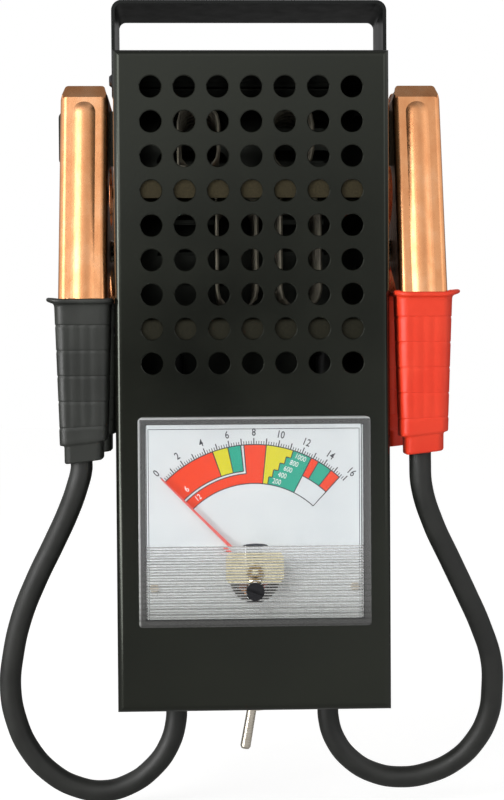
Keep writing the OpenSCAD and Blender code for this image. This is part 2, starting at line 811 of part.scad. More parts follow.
// The ribs are one saw-toothed strip along the inside of the cover's front
module lens_ribs() {
    count = floor(rib_h / rib_pitch);
    rib_d = 0.45;
    z0 = z_low + meter_low + cover_wall - past;
    translate([-meter_w / 2 + cover_wall - past, 0, 0]) rotate([90, 0, 90])
        linear_extrude(meter_w - 2 * (cover_wall - past)) polygon(concat(
            [[y_lens + cover_t - past, z0]],
            [for (i = [0:count - 1]) each [
                [y_lens + cover_t, z0 + i * rib_pitch],
                [y_lens + cover_t + rib_d, z0 + (i + 0.5) * rib_pitch]]],
            [[y_lens + cover_t, z0 + count * rib_pitch], [y_lens + cover_t - past, z0 + count * rib_pitch]]
        ));
}

module dial_screw_places() {
    for (s = [-1, 1]) translate([s * (meter_w / 2 - dial_screw_in), y_flange, z_pivot - 4]) children();
}

module dial_plate() {
    color("#e6e9ee") difference() {
        translate([0, y_flange, meter_mid])
            face_plate(meter_w - 2 * (cover_wall + dial_gap), meter_h - 2 * (cover_wall + dial_gap),
                dial_t, 0.5);
        translate([0, y_dial - past, z_pivot]) rod_y(dial_hole_r, dial_t + 2 * past);
        dial_screw_places() translate([0, -dial_t - past, 0]) rod_y(1, dial_t + 2 * past);
    }
}

module dial_screws() {
    color("#8a8a88") dial_screw_places() {
        translate([0, -dial_t, 0]) rod_y(0.9, dial_t + flange_t - 0.4);
        difference() {
            translate([0, -dial_t - 0.9, 0]) rod_y(1.8, 0.9);
            translate([-2, -dial_t - 1, -0.25]) cube([4, 0.5, 0.5]);
        }
    }
}

// Pointer with its hub and tail, turned to the zero of the scale
module meter_pointer() {
    tail = 6;
    hub_front = 0.5;
    hub_back = y_magnet - coil_over - 1 - y_pointer;
    color("#d8564c") translate([0, y_pointer, z_pivot]) rotate([0, -zero_angle, 0]) difference() {
        union() {
            translate([0, pointer_t / 2, 0]) rotate([90, 0, 0]) linear_extrude(pointer_t) {
                polygon([[-0.8, 0], [-0.25, pointer_len], [0.25, pointer_len], [0.8, 0]]);
                polygon([[-0.8, 0], [-1.5, -tail], [1.5, -tail], [0.8, 0]]);
            }
            translate([0, -hub_front, 0]) rod_y(hub_r, hub_front + hub_back);
        }
        translate([0, -1, 0]) rod_y(axle_r + run, 3);
    }
}

// Coil former round the core, with its axle in two halves
module moving_coil() {
    y_near = y_magnet - coil_over - 1;
    length = magnet_len + 2 * (coil_over + 1);
    color("#a8662e") translate([0, 0, z_pivot]) rotate([0, -zero_angle, 0]) {
        difference() {
            translate([-coil_half, y_near, -coil_tall / 2]) cube([2 * coil_half, length, coil_tall]);
            translate([-coil_half + coil_wall, y_near + coil_wall, -coil_tall / 2 - past])
                cube([2 * (coil_half - coil_wall), length - 2 * coil_wall, coil_tall + 2 * past]);
        }
        translate([0, y_jewel - jewel_bore + slack, 0])
            rod_y(axle_r, y_near - y_jewel + jewel_bore - slack + past);
        translate([0, y_near + length - past, 0])
            rod_y(axle_r, y_back_jewel + jewel_bore - slack - y_near - length + past);
    }
}

module ring_y(y, h, r_out, r_in) {
    translate([0, y, z_pivot]) difference() {
        rod_y(r_out, h);
        translate([0, -past, 0]) rod_y(r_in, h + 2 * past);
    }
}

// Magnet ring on its yoke, which stands on the back of the meter's housing
module meter_magnet() {
    y_yoke = y_magnet + magnet_len;
    y_wall = y_front + barrel_d - 2;
    color("#5c5f63") {
        ring_y(y_magnet, magnet_len + past, magnet_r, magnet_bore_r);
        ring_y(y_yoke, y_wall - y_yoke - 3, magnet_r, magnet_bore_r + 1);
        ring_y(y_wall - 3 - past, 3 + past, magnet_r, jewel_r);
    }
}

// Core, held by a bar whose ends are let into the magnet's bore
module meter_core() {
    bar = 4;
    half = magnet_bore_r + slack;
    color("#8d9094") {
        translate([0, y_magnet + 1, z_pivot]) rod_y(core_r, magnet_len - 2);
        translate([-bar / 2, y_magnet + 3, z_pivot - half]) cube([bar, magnet_len - 6, 2 * half]);
    }
}

// Front bridge on two posts, and the two screws that hold the jewels
module jewel_bridge() {
    color("#d9cfa4") {
        for (s = [-1, 1]) translate([s * post_x, y_bridge, z_pivot]) rod_y(post_rod_r, y_magnet - y_bridge);
        difference() {
            translate([0, y_bridge, z_pivot + bridge_up]) face_plate(bridge_w, bridge_h, bridge_t, 3);
            translate([0, y_bridge - bridge_t - past, z_pivot]) rod_y(jewel_r - past, bridge_t + 2 * past);
        }
        jewel(y_jewel - 2.6, 2.6) translate([0, 2.6 - jewel_bore, 0]) rod_y(axle_r + run, jewel_bore + past);
        jewel(y_back_jewel, 5.5) translate([0, -past, 0]) rod_y(axle_r + run, jewel_bore + past);
    }
}

// Jewel screw from y with its bore cut by the child
module jewel(y, h) {
    translate([0, y, z_pivot]) difference() {
        rod_y(jewel_r, h);
        children();
    }
}

// Flat spiral from the axle out to a fixed stud
function spiral(y, turns, r_in, r_out) = [
    for (k = [0:turns * 12]) let (r = r_in + (r_out - r_in) * k / (turns * 12))
        [r * cos(30 * k), y, z_pivot + r * sin(30 * k)]];

module hairsprings() {
    ribbon = 0.35;
    r_out = 4.6;
    y_near = y_bridge + 0.7;
    y_far = y_back_jewel - 1.2;
    color("#c9a24a") {
        for (y = [y_near, y_far]) tube(spiral(y, 3, 1.3, r_out), ribbon, 4, [0, 1, 0]);
        translate([r_out, y_bridge, z_pivot]) rod_y(0.4, y_near - y_bridge + 0.2);
        translate([r_out, y_far - 0.2, z_pivot]) rod_y(0.4, y_back_yoke - past - y_far + 0.2);
    }
    echo(hairspring_gap = self_gap(spiral(y_near, 3, 1.3, r_out), ribbon, 12));
}

// Zero adjuster: a slotted screw in the clear cover with an eccentric pin
module zero_screw() {
    head_out = 0.6;
    length = cover_t + head_out - 0.2;
    color("#1d1d1f") translate([0, y_lens - head_out, z_zero]) {
        difference() {
            rod_y(zero_head_r, length);
            rotate([0, 22, 0]) translate([-5, -past, -0.55]) cube([10, 1.1, 1.1]);
        }
        translate([0, length - past, zero_throw])
            rod_y(zero_pin_r, y_arm + arm_t - y_lens - length + head_out + past);
    }
}

module zero_arm() {
    fork_w = 3.4;
    color("#b39b58") translate([0, y_arm, z_pivot]) difference() {
        union() {
            rod_y(3.2, arm_t);
            translate([-fork_w / 2, 0, -zero_down + 0.2]) cube([fork_w, arm_t, zero_down - 0.2]);
        }
        translate([0, -past, 0]) rod_y(jewel_r + run, arm_t + 2 * past);
        translate([-zero_pin_r - 0.15, -past, -zero_down])
            cube([2 * zero_pin_r + 0.3, arm_t + 2 * past, 2.2]);
    }
}

module meter_nuts() {
    color("#a9a597") for (s = [-1, 1], up = [stud_up_in, meter_h - stud_up_in])
        translate([s * (meter_w / 2 - stud_in), y_front + sheet_t, z_low + meter_low + up])
            rotate([-90, 0, 0]) difference() {
                union() {
                    cylinder(r = 3.4, h = 0.5);
                    translate([0, 0, 0.5]) cylinder(r = 3.1, h = 2.4, $fn = 6);
                }
                translate([0, 0, -past]) cylinder(r = meter_stud_r + bolt_gap, h = 4);
            }
}

// Leads

module lead_grommets() {
    color("#17171a") for (s = [-1, 1]) translate([s * lead_x, 0, z_low]) difference() {
        union() {
            translate([0, 0, -grommet_out])
                cylinder(r1 = grommet_flange_r - 1, r2 = grommet_flange_r, h = grommet_out);
            cylinder(r = grommet_neck_r, h = sheet_t + past);
            translate([0, 0, sheet_t]) cylinder(r = grommet_flange_r - 0.6, h = grommet_in);
        }
        translate([0, 0, -grommet_out - past])
            cylinder(r = lead_d / 2 + lead_fit, h = grommet_out + sheet_t + grommet_in + 2 * past);
    }
}

// Stretch of lead inside the case, from the grommet to a lug under the lower bracket
module inner_lead(s) {
    lug_t = 2;
    lug_w = 1.5 * lead_d;
    lug_d = 1.3 * lead_d;
    z_lug = z_lower - bracket_t - lug_t;
    bare = 1.3 * lead_d;
    bare_r = lead_d / 2 - 1.1;
    color("#141414") translate([s * lead_x, 0, z_lead_exit])
        cylinder(d = lead_d, h = z_lug - bare - z_lead_exit);
    color("#b4703c") translate([s * lead_x, 0, 0]) {
        translate([0, 0, z_lug - bare - past]) cylinder(r = bare_r, h = bare + 2 * past);
        translate([-lug_w / 2, -lug_d / 2, z_lug]) cube([lug_w, lug_d, lug_t]);
        translate([0, 0, z_lug + lug_t - past]) cylinder(r = stud_r, h = bracket_t + 3);
    }
}

module inner_lead_left() { inner_lead(-1); }
module inner_lead_right() { inner_lead(1); }

module lead(s, route) {
    path = concat([[s * lead_x, 0, z_lead_exit]], route,
        [for (down = [lead_straight, 0])
            [clamp_x(s) + lead_side, -handle_mid, z_lead_boot(s) - down]]);
    color("#141414") tube(path, lead_d, lead_sides, [0, 1, 0]);
}

module lead_left() { lead(-1, route_left); }
module lead_right() { lead(1, route_right); }

// Clamps: two copper levers on one pin, drawn with the pin at the origin. A lever is drawn
// as the rear one, so that +Y points out from the bite.

module at_clamp(s) { translate([clamp_x(s), 0, z_pin]) children(); }

module channel(w, depth, r, wall = jaw_t) {
    mirror([0, 1]) difference() {
        bent_edge(w, depth, r);
        translate([0, jaw_t]) bent_edge(w - 2 * wall, depth, r - jaw_t);
    }
}

// Side view of a lever: nose, teeth, the round gap for a post, the pivot's ear and the handle
module lever_outline(bite) {
    deep = 60;
    difference() {
        union() {
            polygon(concat(
                [[jaw_out - nose, jaw_h], [jaw_out - nose + deep, jaw_h - deep], [deep, z_handle_end - 5],
                    [handle_in, z_handle_end - 5], [handle_in, z_handle_in], [5, -8], [bite, 0]],
                [for (i = [teeth - 1:-1:0]) each [
                    [bite, z_teeth - (i + 1) * tooth_pitch],
                    [bite + tooth_depth, z_teeth - (i + 0.5) * tooth_pitch]]],
                [[bite, z_teeth], [bite, jaw_h]]
            ));
            circle(ear_r);
        }
        translate([0, post_z]) circle(post_r);
    }
}

// Long embossed rib on the back of a jaw: an arc in section, round at its end
module jaw_rib(length) {
    r = (rib_w * rib_w / 4 + rib_out * rib_out) / (2 * rib_out);
    intersection() {
        translate([0, rib_out - r, 0]) {
            cylinder(r = r, h = length);
            translate([0, 0, length]) sphere(r);
        }
        translate([-rib_w, -jaw_t / 2, 0]) cube([2 * rib_w, jaw_t / 2 + 2 * rib_out, length + rib_w]);
    }
}

// Front view of a lever: straight sides that draw in towards a rounded tip
module lever_front(w) {
    hull() {
        translate([-w / 2, z_handle_end - 5]) square([w, jaw_h - nose_fall - z_handle_end + 5]);
        for (s = [-1, 1]) translate([s * (w / 2 - nose_in - nose_r), jaw_h - nose_r]) circle(nose_r);
    }
}

module lever(w, bite, wall = jaw_t) {
    length = (jaw_h - bend_z) / cos(tilt) + 2;
    difference() {
        intersection() {
            union() {
                intersection() {
                    union() {
                        translate([0, handle_out, bend_z]) rotate([tilt, 0, 0]) {
                            linear_extrude(length) channel(w, jaw_deep, jaw_r, wall);
                            jaw_rib(length - rib_down - rib_w / 2 - 2);
                        }
                        translate([0, handle_out, z_handle_end]) linear_extrude(handle_len + 4)
                            channel(handle_w, handle_d, 2.2);
                    }
                    rotate([90, 0, 90]) linear_extrude(w + 10, center = true) lever_outline(bite);
                }
                nose_plate(w - 2.4);
            }
            translate([0, 2 * jaw_deep, 0]) rotate([90, 0, 0]) linear_extrude(4 * jaw_deep) lever_front(w);
        }
        across(pin_r + run);
    }
}

// Cylinder along the pivot pin, wider than the clamp
module across(r) {
    rotate([0, 90, 0]) cylinder(r = r, h = 2 * jaw_w, center = true);
}

module front_lever() {
    color("#e0925c") mirror([0, 1, 0]) lever(jaw_w, bite);
}

// The rear lever is as wide as the front one, with a step in each wall that lets its ears pass inside
module rear_lever() {
    clear_r = ear_r + ear_gap;
    color("#e0925c") {
        difference() {
            lever(jaw_w, open_bite);
            across(clear_r);
        }
        intersection() {
            lever(rear_w, open_bite);
            across(clear_r + joggle);
        }
        intersection() {
            lever(jaw_w, open_bite, (jaw_w - rear_w) / 2 + jaw_t);
            difference() {
                across(clear_r + joggle);
                across(clear_r);
            }
        }
    }
}

// The web bent in at 45 degrees to close the jaw's tip
module nose_plate(w) {
    run_down = nose / (1 - tan(tilt));
    dip = jaw_t / sqrt(2);
    a = [jaw_out - nose, jaw_h];
    b = a + run_down * [1, -1];
    rotate([90, 0, 90]) linear_extrude(w, center = true)
        polygon([a, b, b - [dip, dip], a - [dip, dip]]);
}

module jaw_pin() {
    half = jaw_w / 2;
    color("#b8b4a6") rotate([0, 90, 0]) {
        cylinder(r = pin_r, h = 2 * half, center = true);
        for (s = [-1, 1]) translate([0, 0, s * half]) mirror([0, 0, s > 0 ? 0 : 1])
            cylinder(r1 = pin_head_r, r2 = pin_head_r - 0.6, h = pin_head_h);
    }
}

// Clamp spring: turns round the pin, with one arm to each lever's web
spring_touch = jaw_out + (jaw_h - spring_touch_z) * tan(tilt) - (jaw_t + spring_d / 3) / cos(tilt);
spring_reach = norm([spring_touch, spring_touch_z]);
spring_leave = atan(spring_touch_z / spring_touch) + acos(spring_r / spring_reach);
spring_sweep = 180 - 2 * spring_leave + 360 * spring_turns;
spring_half = spring_pitch * spring_sweep / 720;
spring_steps = ceil(spring_sweep / 45);

function spring_path() = concat(
    [[-spring_half, -spring_touch, spring_touch_z]],
    [for (k = [0:spring_steps]) let (f = k / spring_steps, a = 180 - spring_leave - spring_sweep * f)
        [-spring_half + 2 * spring_half * f, spring_r * cos(a), spring_r * sin(a)]]);

module jaw_spring() {
    color("#8b8d8f") tube(spring_path(), spring_d, wire_sides, [1, 0, 0]);
    echo(jaw_spring_gap = self_gap([for (k = [1:spring_steps + 1]) spring_path()[k]], spring_d, 8));
}

module spring_arm() {
    from = [spring_r * cos(spring_leave), spring_r * sin(spring_leave)];
    to = [spring_touch, spring_touch_z];
    way = to - from;
    color("#8b8d8f") translate([spring_half, from[0], from[1]])
        rotate([-90 + atan2(way[1], way[0]), 0, 0]) translate([0, 0, slack])
            cylinder(d = spring_d, h = norm(way) - slack);
}

// Boot: a tapering sleeve with rings, a pointed flange and a neck for the lead

// Outline of a boot at one level, with rounded corners
function boot_section(hw, hd) =
    let (r = 0.5 * min(hw, hd))
    [for (q = [0:3], k = [0:corner_steps])
        let (a = 90 * q + 90 * k / corner_steps)
        [(q == 0 || q == 3 ? 1 : -1) * (hw - r) + r * cos(a), (q < 2 ? 1 : -1) * (hd - r) + r * sin(a)]];

// Half width and half depth of the sleeve at a level
function boot_half(z) =
    let (f = (z_mouth - flange_h - z) / (z_mouth - flange_h - z_neck))
    [(boot_w - boot_taper_w * f) / 2, (boot_d - boot_taper_d * f) / 2];

function boot_levels() =
    let (top = boot_half(z_mouth - flange_h), end = boot_half(z_neck), neck = end - [1.1, 1.1],
        rings = floor((z_mouth - flange_h - 3 - z_neck - 2) / boot_ring))
    concat(
        [[z_boot_end, neck[0] - 0.8, neck[1] - 0.8], [z_boot_end + 1, neck[0] - 0.2, neck[1] - 0.2],
            [z_neck - 0.2, neck[0], neck[1]], [z_neck, end[0], end[1]]],
        [for (i = [rings:-1:1]) let (z = z_mouth - flange_h - 3.5 - i * boot_ring, h = boot_half(z)) each [
            [z - 0.4, h[0], h[1]], [z, h[0] - groove, h[1] - groove], [z + 0.4, h[0], h[1]]]],
        [[z_mouth - flange_h, top[0], top[1]],
            [z_mouth - flange_h * 0.45, top[0] + boot_flange, top[1] + boot_flange],
            [z_mouth - flange_h * 0.3, top[0] + boot_flange, top[1] + boot_flange],
            [z_mouth, top[0] + boot_flange * 0.4, top[1] + boot_flange * 0.4]]
    );

module boot_skin() {
    levels = boot_levels();
    sides = 4 * (corner_steps + 1);
    points = [for (l = levels) each [for (p = boot_section(l[1], l[2])) [p[0], p[1], l[0]]]];
    polyhedron(points = points, faces = skin(len(levels), sides));
}

module boot(up) {
    fit = slack;
    z_wide = bend_z - handle_d * sin(tilt) - 0.8;
    translate([0, handle_mid, 0]) difference() {
        translate([0, 0, up]) boot_skin();
        translate([-jaw_w / 2 - fit, -handle_d / 2 - fit, z_wide])
            cube([jaw_w + 2 * fit, handle_d + rib_out + 2 * fit, z_mouth + up - z_wide + past]);
        translate([-handle_w / 2 - fit, -handle_d / 2 - fit, z_handle_end - 1])
            cube([handle_w + 2 * fit, handle_d + 2 * fit, handle_len + 4]);
        translate([lead_side, 0, z_boot_end + up - past])
            cylinder(r = lead_d / 2 + lead_fit, h = boot_len - 5);
    }
}

module front_boot(s, tint) {
    color(tint) at_clamp(s) mirror([0, 1, 0]) boot(pushed_up(s));
}

module rear_boot(s, tint) {
    color(tint) at_clamp(s) boot(pushed_up(s));
}

// End of a lead inside its boot: the jacket, the bare strands and the crimped sleeve
module lead_end(s) {
    z_end = z_boot_end + pushed_up(s);
    z_strip = z_end + 0.37 * boot_len;
    bare_r = lead_d / 2 - 1.5;
    bare = 1.7 * lead_d;
    crimp_r = lead_d / 2 - 0.3;
    color("#141414") at_clamp(s) translate([lead_side, -handle_mid, z_end])
        cylinder(d = lead_d, h = z_strip - z_end);
    color("#b4703c") at_clamp(s) translate([lead_side, -handle_mid, z_strip - past]) {
        cylinder(r = bare_r, h = bare);
        translate([0, 0, bare / 5]) cylinder(r = crimp_r, h = bare * 3 / 5);
    }
}

module jaw_front_left() { at_clamp(-1) front_lever(); }
module jaw_rear_left() { at_clamp(-1) rear_lever(); }
module jaw_pin_left() { at_clamp(-1) jaw_pin(); }
module jaw_spring_left() { at_clamp(-1) jaw_spring(); }
module spring_arm_left() { at_clamp(-1) spring_arm(); }
module boot_front_left() { front_boot(-1, "#1b1b1b"); }
module boot_rear_left() { rear_boot(-1, "#1b1b1b"); }
module lead_end_left() { lead_end(-1); }
module jaw_front_right() { at_clamp(1) front_lever(); }
module jaw_rear_right() { at_clamp(1) rear_lever(); }
module jaw_pin_right() { at_clamp(1) jaw_pin(); }
module jaw_spring_right() { at_clamp(1) jaw_spring(); }
module spring_arm_right() { at_clamp(1) spring_arm(); }
module boot_front_right() { front_boot(1, "#d8331f"); }
module boot_rear_right() { rear_boot(1, "#d8331f"); }
module lead_end_right() { lead_end(1); }

front_shell();
back_cover();
cover_screws();
carry_handle();
handle_rivets();
clamp_rest_left();
clamp_rest_right();
rest_rivets();
upper_bracket();
lower_bracket();
bracket_screws();
ceramic_rails();
ceramic_bushes();
coil_upper_left();
coil_upper_right();
coil_lower_left();
coil_lower_right();
bus_links();
switch_body();
switch_nuts();
switch_terminals();
toggle_lever();
meter_base();
meter_lens();
dial_plate();
dial_screws();
meter_pointer();
moving_coil();
meter_magnet();
meter_core();
jewel_bridge();
hairsprings();
zero_screw();
zero_arm();
meter_nuts();
inner_lead_left();
inner_lead_right();
lead_grommets();
lead_left();
lead_right();
jaw_front_left();
jaw_rear_left();
jaw_pin_left();
jaw_spring_left();
spring_arm_left();
boot_front_left();
boot_rear_left();
lead_end_left();
jaw_front_right();
jaw_rear_right();
jaw_pin_right();
jaw_spring_right();
spring_arm_right();
boot_front_right();
boot_rear_right();
lead_end_right();
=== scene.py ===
# %% [markdown]
# # A battery load tester, dressed for its portrait
# A workshop load tester is a folded steel box with resistance coils
# inside, a meter on its front and two clamps on heavy leads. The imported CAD
# model brings every rigid piece at its real size, so this lesson only adds
# finishes, soft parts, printing, light and a camera.

# %% Load the fixed frame
import math

import bmesh
import bpy
from mathutils import Matrix, Vector


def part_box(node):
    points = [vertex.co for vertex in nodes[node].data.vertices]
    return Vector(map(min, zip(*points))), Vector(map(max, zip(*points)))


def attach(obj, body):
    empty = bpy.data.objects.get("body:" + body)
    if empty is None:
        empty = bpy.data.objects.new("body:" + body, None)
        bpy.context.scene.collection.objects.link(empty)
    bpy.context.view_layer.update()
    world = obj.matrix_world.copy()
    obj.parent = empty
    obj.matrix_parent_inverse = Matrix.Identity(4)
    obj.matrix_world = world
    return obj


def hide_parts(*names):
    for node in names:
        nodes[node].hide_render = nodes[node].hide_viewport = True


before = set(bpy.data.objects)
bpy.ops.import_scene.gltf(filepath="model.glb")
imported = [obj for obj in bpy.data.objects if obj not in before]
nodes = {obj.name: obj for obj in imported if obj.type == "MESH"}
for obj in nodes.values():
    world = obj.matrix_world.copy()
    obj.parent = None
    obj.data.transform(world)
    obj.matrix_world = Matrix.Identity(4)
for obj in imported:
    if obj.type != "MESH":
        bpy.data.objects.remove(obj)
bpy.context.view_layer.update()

# %% [markdown]
# Everything is in metres, but a maker thinks in millimetres, so one constant
# converts. Colours are picked as the hex values a screen shows, while
# Blender mixes light in linear values, so one function turns one into the
# other.

# %% Units and colours
MM = 0.001
WHITE = "#ffffff"


def hex_colour(code):
    """Linear red, green, blue and alpha of an sRGB hex value such as #1f2a44."""
    def linear(value):
        return value / 12.92 if value <= 0.04045 else ((value + 0.055) / 1.055) ** 2.4
    parts = [int(code[i:i + 2], 16) / 255 for i in (1, 3, 5)]
    return (*map(linear, parts), 1.0)


print("white is", hex_colour(WHITE))

# %% [markdown]
# A finish is a small network of shader nodes. One function adds a node with
# its values, links and settings, and every node in this lesson comes from
# it. A new material starts from its main shader and from the place of each
# point in millimetres, so that patterns can have their real size.

# %% Nodes and materials
def add(tree, kind, values=None, links=None, stops=(), **settings):
    """A new shader node, with its socket values, links, settings and, on a colour ramp, its stops."""
    node = tree.nodes.new("ShaderNode" + kind)
    for name, value in settings.items():
        setattr(node, name, value)
    for socket, value in (values or {}).items():
        node.inputs[socket].default_value = value
    for socket, source in (links or {}).items():
        tree.links.new(source, node.inputs[socket])
    if stops:
        ramp = node.color_ramp.elements
        while len(ramp) < len(stops):
            ramp.new(0.5)
        for element, (position, code) in zip(ramp, stops):
            element.position = position
            element.color = hex_colour(code)
    return node


def new_material(name, **shader_values):
    """A material's node tree, its main shader and the place of each point in mm."""
    material = bpy.data.materials.new(name)
    material.use_nodes = True
    tree = material.node_tree
    shader = tree.nodes["Principled BSDF"]
    for socket, value in shader_values.items():
        shader.inputs[socket.replace("_", " ")].default_value = value
    place = add(tree, "TexCoord").outputs["Object"]
    in_mm = add(tree, "VectorMath", {1: (1 / MM,) * 3}, {0: place}, operation="MULTIPLY")
    return tree, shader, in_mm.outputs[0]


def owner(tree):
    """The material that a node tree belongs to."""
    return next(m for m in bpy.data.materials if m.node_tree == tree)


def dress(tree, *names):
    """Gives a material to CAD pieces, by name."""
    for name in names:
        nodes[name].data.materials.clear()
        nodes[name].data.materials.append(owner(tree))
    print(owner(tree).name, "on", ", ".join(names))


print("materials that came with the frame:", len(bpy.data.materials))

# %% [markdown]
# No real surface is one flat colour. Its tone, its gloss and its relief all
# follow some grain: the marks of a tool, the flow of a melt, the bloom of
# dust. So one function makes a grain of a real size, and one lays tones,
# gloss and reliefs along such grains. Noise in Blender keeps mostly between
# 0.3 and 0.7, and that is the span that the gloss follows.

# %% Grain and finish
NOISE_LOW, NOISE_HIGH = 0.3, 0.7


def grain(tree, place, size, detail=3.0, rough=0.5):
    """Noise whose grains are size = (x, y, z) millimetres across, from 0 to 1."""
    scaled = add(tree, "VectorMath", {1: tuple(1 / s for s in size)}, {0: place}, operation="MULTIPLY")
    noise = add(tree, "TexNoise", {"Scale": 1.0, "Detail": detail, "Roughness": rough},
                {"Vector": scaled.outputs[0]})
    return noise.outputs["Fac"]


def finish(tree, shader, cloud, stops, wear, gloss, *reliefs):
    """Tones along cloud, roughness from gloss[0] to gloss[1] along wear, and reliefs, the lowest first.

    A relief is a grain and its real depth in mm. The tones are returned for a material that mixes more.
    """
    tones = add(tree, "ValToRGB", links={"Fac": cloud}, stops=stops).outputs["Color"]
    tree.links.new(tones, shader.inputs["Base Color"])
    rough = add(tree, "MapRange", {1: NOISE_LOW, 2: NOISE_HIGH, 3: gloss[0], 4: gloss[1]}, {0: wear})
    tree.links.new(rough.outputs[0], shader.inputs["Roughness"])
    under = {}
    for height, depth in reliefs:
        bump = add(tree, "Bump", {"Strength": 1.0, "Distance": depth * MM}, {"Height": height, **under})
        under = {"Normal": bump.outputs[0]}
        tree.links.new(bump.outputs[0], shader.inputs["Normal"])
    return tones


print("gloss follows noise from", NOISE_LOW, "to", NOISE_HIGH)

# %% [markdown]
# The photograph was taken from about 0.63 m in front of the case, a little
# left of its middle and level with its centre, with a normal lens. A camera
# in Blender looks along its own -Z axis, so it is turned up by 90 degrees,
# then tilted, rolled and turned by the angles read from the picture.

# %% Camera
CASE_FRONT = -40
CAMERA_X, CAMERA_AWAY, CAMERA_Z = -20.6, 632, -153.7
CAMERA_PLACE = Vector((CAMERA_X, CASE_FRONT - CAMERA_AWAY, CAMERA_Z)) * MM
PITCH_DOWN = math.radians(1.45)
TURN_RIGHT = math.radians(1.82)
ROLL = math.radians(-0.38)
FOCAL_MM, SENSOR_MM = 68.1, 36
NEAREST = 10 * MM

camera_data = bpy.data.cameras.new("portrait_camera")
camera_data.lens = FOCAL_MM
camera_data.sensor_width = SENSOR_MM
camera_data.clip_start = NEAREST
camera = bpy.data.objects.new("portrait_camera", camera_data)
bpy.context.scene.collection.objects.link(camera)
camera.matrix_world = (
    Matrix.Translation(CAMERA_PLACE)
    @ Matrix.Rotation(-TURN_RIGHT, 4, "Z")
    @ Matrix.Rotation(math.pi / 2 - PITCH_DOWN, 4, "X")
    @ Matrix.Rotation(ROLL, 4, "Z")
)
bpy.context.scene.camera = camera
bpy.context.scene.view_settings.view_transform = "Standard"
print("camera at", [round(v, 4) for v in CAMERA_PLACE])

# %% [markdown]
# Each lead is one stretch of heavy rubber cable, 9.4 mm thick. It leaves a
# grommet under the case, swings out in a loop and climbs into the boot of
# its front lever. These are the CAD route's own points, in millimetres.

# %% The leads' routes
LEAD_D = 9.4 * MM
LEFT_ROUTE = [
    (-34, 0, -303.7), (-34, 0, -313), (-37.6, 0, -325), (-45, 0, -334.8), (-54.5, 0, -341.4),
    (-66, -1, -344.2), (-78.5, -2, -341.8), (-89.3, -4, -335), (-98.4, -6, -324), (-103.8, -8, -311),
    (-106.1, -10, -296), (-104.3, -13, -280), (-100.3, -16, -264), (-93.3, -20, -247), (-85.3, -24, -231),
    (-78.6, -28, -217), (-74.4, -31, -206), (-72.5, -31, -198.3), (-72.5, -31, -195.3),
]
RIGHT_ROUTE = [
    (34, 0, -303.7), (34, 0, -313), (37, 0, -323), (44, 0, -332), (54, 0, -338),
    (66, -1, -340), (78.6, -2, -338), (90.3, -4, -332), (98.8, -6, -323), (104.4, -8, -311),
    (105.7, -10, -299), (104.7, -13, -285), (99.7, -16, -270), (92.7, -20, -255), (84.8, -24, -239),
    (77, -28, -223), (71.8, -31, -207), (71.2, -31, -195.6), (71.2, -31, -192.6),
]


def route_length(route):
    """Length of a route along its straight steps, in metres."""
    return sum((Vector(b) - Vector(a)).length for a, b in zip(route, route[1:])) * MM


print("left", round(route_length(LEFT_ROUTE), 4), "m, right", round(route_length(RIGHT_ROUTE), 4), "m")

# %% [markdown]
# A Bezier curve through those points gives the smooth line of a stiff
# cable, and its bevel gives the thickness. Blender counts each point's
# radius into a curve's bounds, so the radius is the cable's own and the
# bevel is one metre times that.

# %% The two leads
RING_STEPS, STEPS_PER_POINT = 6, 8


def lead_curve(name, route):
    """A round cable along a route in millimetres."""
    curve = bpy.data.curves.new(name, "CURVE")
    curve.dimensions = "3D"
    curve.bevel_depth = 1.0
    curve.bevel_resolution = RING_STEPS
    curve.resolution_u = STEPS_PER_POINT
    curve.use_fill_caps = True
    spline = curve.splines.new("BEZIER")
    spline.bezier_points.add(len(route) - 1)
    for point, place in zip(spline.bezier_points, route):
        point.co = Vector(place) * MM
        point.radius = LEAD_D / 2
        point.handle_left_type = point.handle_right_type = "AUTO"
    cable = bpy.data.objects.new(name, curve)
    bpy.context.scene.collection.objects.link(cable)
    return cable


for side, route in (("left", LEFT_ROUTE), ("right", RIGHT_ROUTE)):
    cable = lead_curve("rubber_lead_" + side, route)
    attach(cable, "case")
    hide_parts("lead_" + side)
    print(cable.name, "has", len(route), "points")

# %% [markdown]
# A studio for a black box is mostly white: a pale floor below and a pale
# room around. Light Path tells which rays come straight from the camera,
# bare or through the clear cover, and which are mirrored. With it the floor
# and the room can look white without throwing more light on the object.

# %% Rays of a studio
def studio_rays(tree):
    """1 for rays that come from the camera, bare or through something clear, and 1 for mirrored rays."""
    path = add(tree, "LightPath").outputs
    bounces = add(tree, "Math", links={0: path["Diffuse Depth"], 1: path["Glossy Depth"]}, operation="ADD")
    unbounced = add(tree, "Math", {1: 0.5}, {0: bounces.outputs[0]}, operation="LESS_THAN")
    through = add(tree, "Math", links={0: path["Is Transmission Ray"], 1: unbounced.outputs[0]},
                  operation="MULTIPLY")
    seen = add(tree, "Math", links={0: path["Is Camera Ray"], 1: through.outputs[0]}, operation="MAXIMUM")
    return seen.outputs[0], path["Is Glossy Ray"]


# %% [markdown]
# The floor is painted matt white. A part of its own shading stays under the
# lift, so it keeps the tester's shadow. What the enamel mirrors of it
# fades towards the back and to the left, as a floor does that is lit from
# the front on the right. Spans are in millimetres from the middle.

